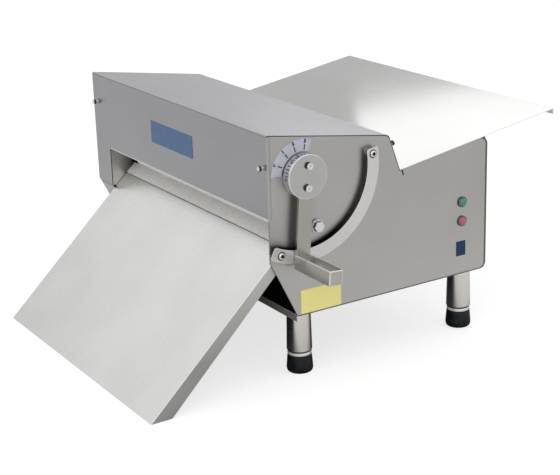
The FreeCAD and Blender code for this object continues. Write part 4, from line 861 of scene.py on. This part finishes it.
def ground():
    """A plain pale floor that keeps the object's shadow, with a painted shadow under the machine
    that only mirrors see.
    """
    mesh = bpy.data.meshes.new("floor")
    reach = 12.0
    corners = [(-reach, -reach, 0), (reach, -reach, 0), (reach, reach, 0), (-reach, reach, 0)]
    mesh.from_pydata(corners, [], [(0, 1, 2, 3)])
    floor = bpy.data.objects.new("floor", mesh)
    bpy.context.scene.collection.objects.link(floor)
    made = bpy.data.materials.new("white_paper")
    made.use_nodes = True
    tree = made.node_tree
    tree.nodes.clear()
    paper, faint, under = (add(tree, "BsdfDiffuse", None, Color=(level, level, level, 1))
                           for level in (0.8, 0.42, 0.11))
    place = spot_in_space(tree)
    # Under the machine the paper seen in mirrors is darker: a painted shadow.
    edges = []
    for axis, (start, full, fading, end) in (("X", (-0.5, -0.4, 0.24, 0.34)),
                                             ("Y", (-0.75, -0.6, 0.3, 0.4))):
        edges += [ramp(tree, place[axis], 0.0, 1.0, start, full),
                  ramp(tree, place[axis], 1.0, 0.0, fading, end)]
    within = product(tree, *edges, rays(tree, "Is Glossy Ray"))
    lit = add(tree, "MixShader", None, i0=within, i1=paper.outputs[0], i2=under.outputs[0])
    white = add(tree, "Emission", None, Color=(1, 1, 1, 1), Strength=0.72)
    both = add(tree, "AddShader", None, i0=faint.outputs[0], i1=white.outputs[0])
    mixed = add(tree, "MixShader", None, i0=rays(tree, "Is Camera Ray"),
                i1=lit.outputs[0], i2=both.outputs[0])
    add(tree, "OutputMaterial", None, Surface=mixed.outputs[0])
    mesh.materials.append(made)


def camera():
    """The view of the photograph: place, three turns and focal length."""
    yaw, pitch, roll = (math.radians(a) for a in (58.065, 18.512, 1.743))
    ahead = np.array([-math.sin(yaw) * math.cos(pitch), math.cos(yaw) * math.cos(pitch),
                      -math.sin(pitch)])
    right = np.array([math.cos(yaw), math.sin(yaw), 0])
    down = np.cross(ahead, right)
    side = math.cos(roll) * right + math.sin(roll) * down
    lower = -math.sin(roll) * right + math.cos(roll) * down
    data = bpy.data.cameras.new("camera")
    data.lens, data.sensor_width, data.sensor_fit = 90.760, 36.0, "HORIZONTAL"
    eye = bpy.data.objects.new("camera", data)
    bpy.context.scene.collection.objects.link(eye)
    turned = np.eye(4)
    turned[:3, 0], turned[:3, 1], turned[:3, 2] = side, -lower, -ahead
    turned[:3, 3] = (2.25230, -1.40726, 1.06012)
    eye.matrix_world = Matrix(turned.tolist())
    bpy.context.scene.camera = eye


surroundings()
ground()
camera()
lamp("key", (1.65, -1.65, 1.9), (0, 0, 0.3), (2.0, 2.0), 12, "FFFDF8")
lamp("tray_light", (-0.95, 1.25, 1.26), (0.1, 0.3, 0.39), (0.95, 0.54), 2.3, "FFFFFF")
bpy.context.scene.view_settings.view_transform = "Standard"
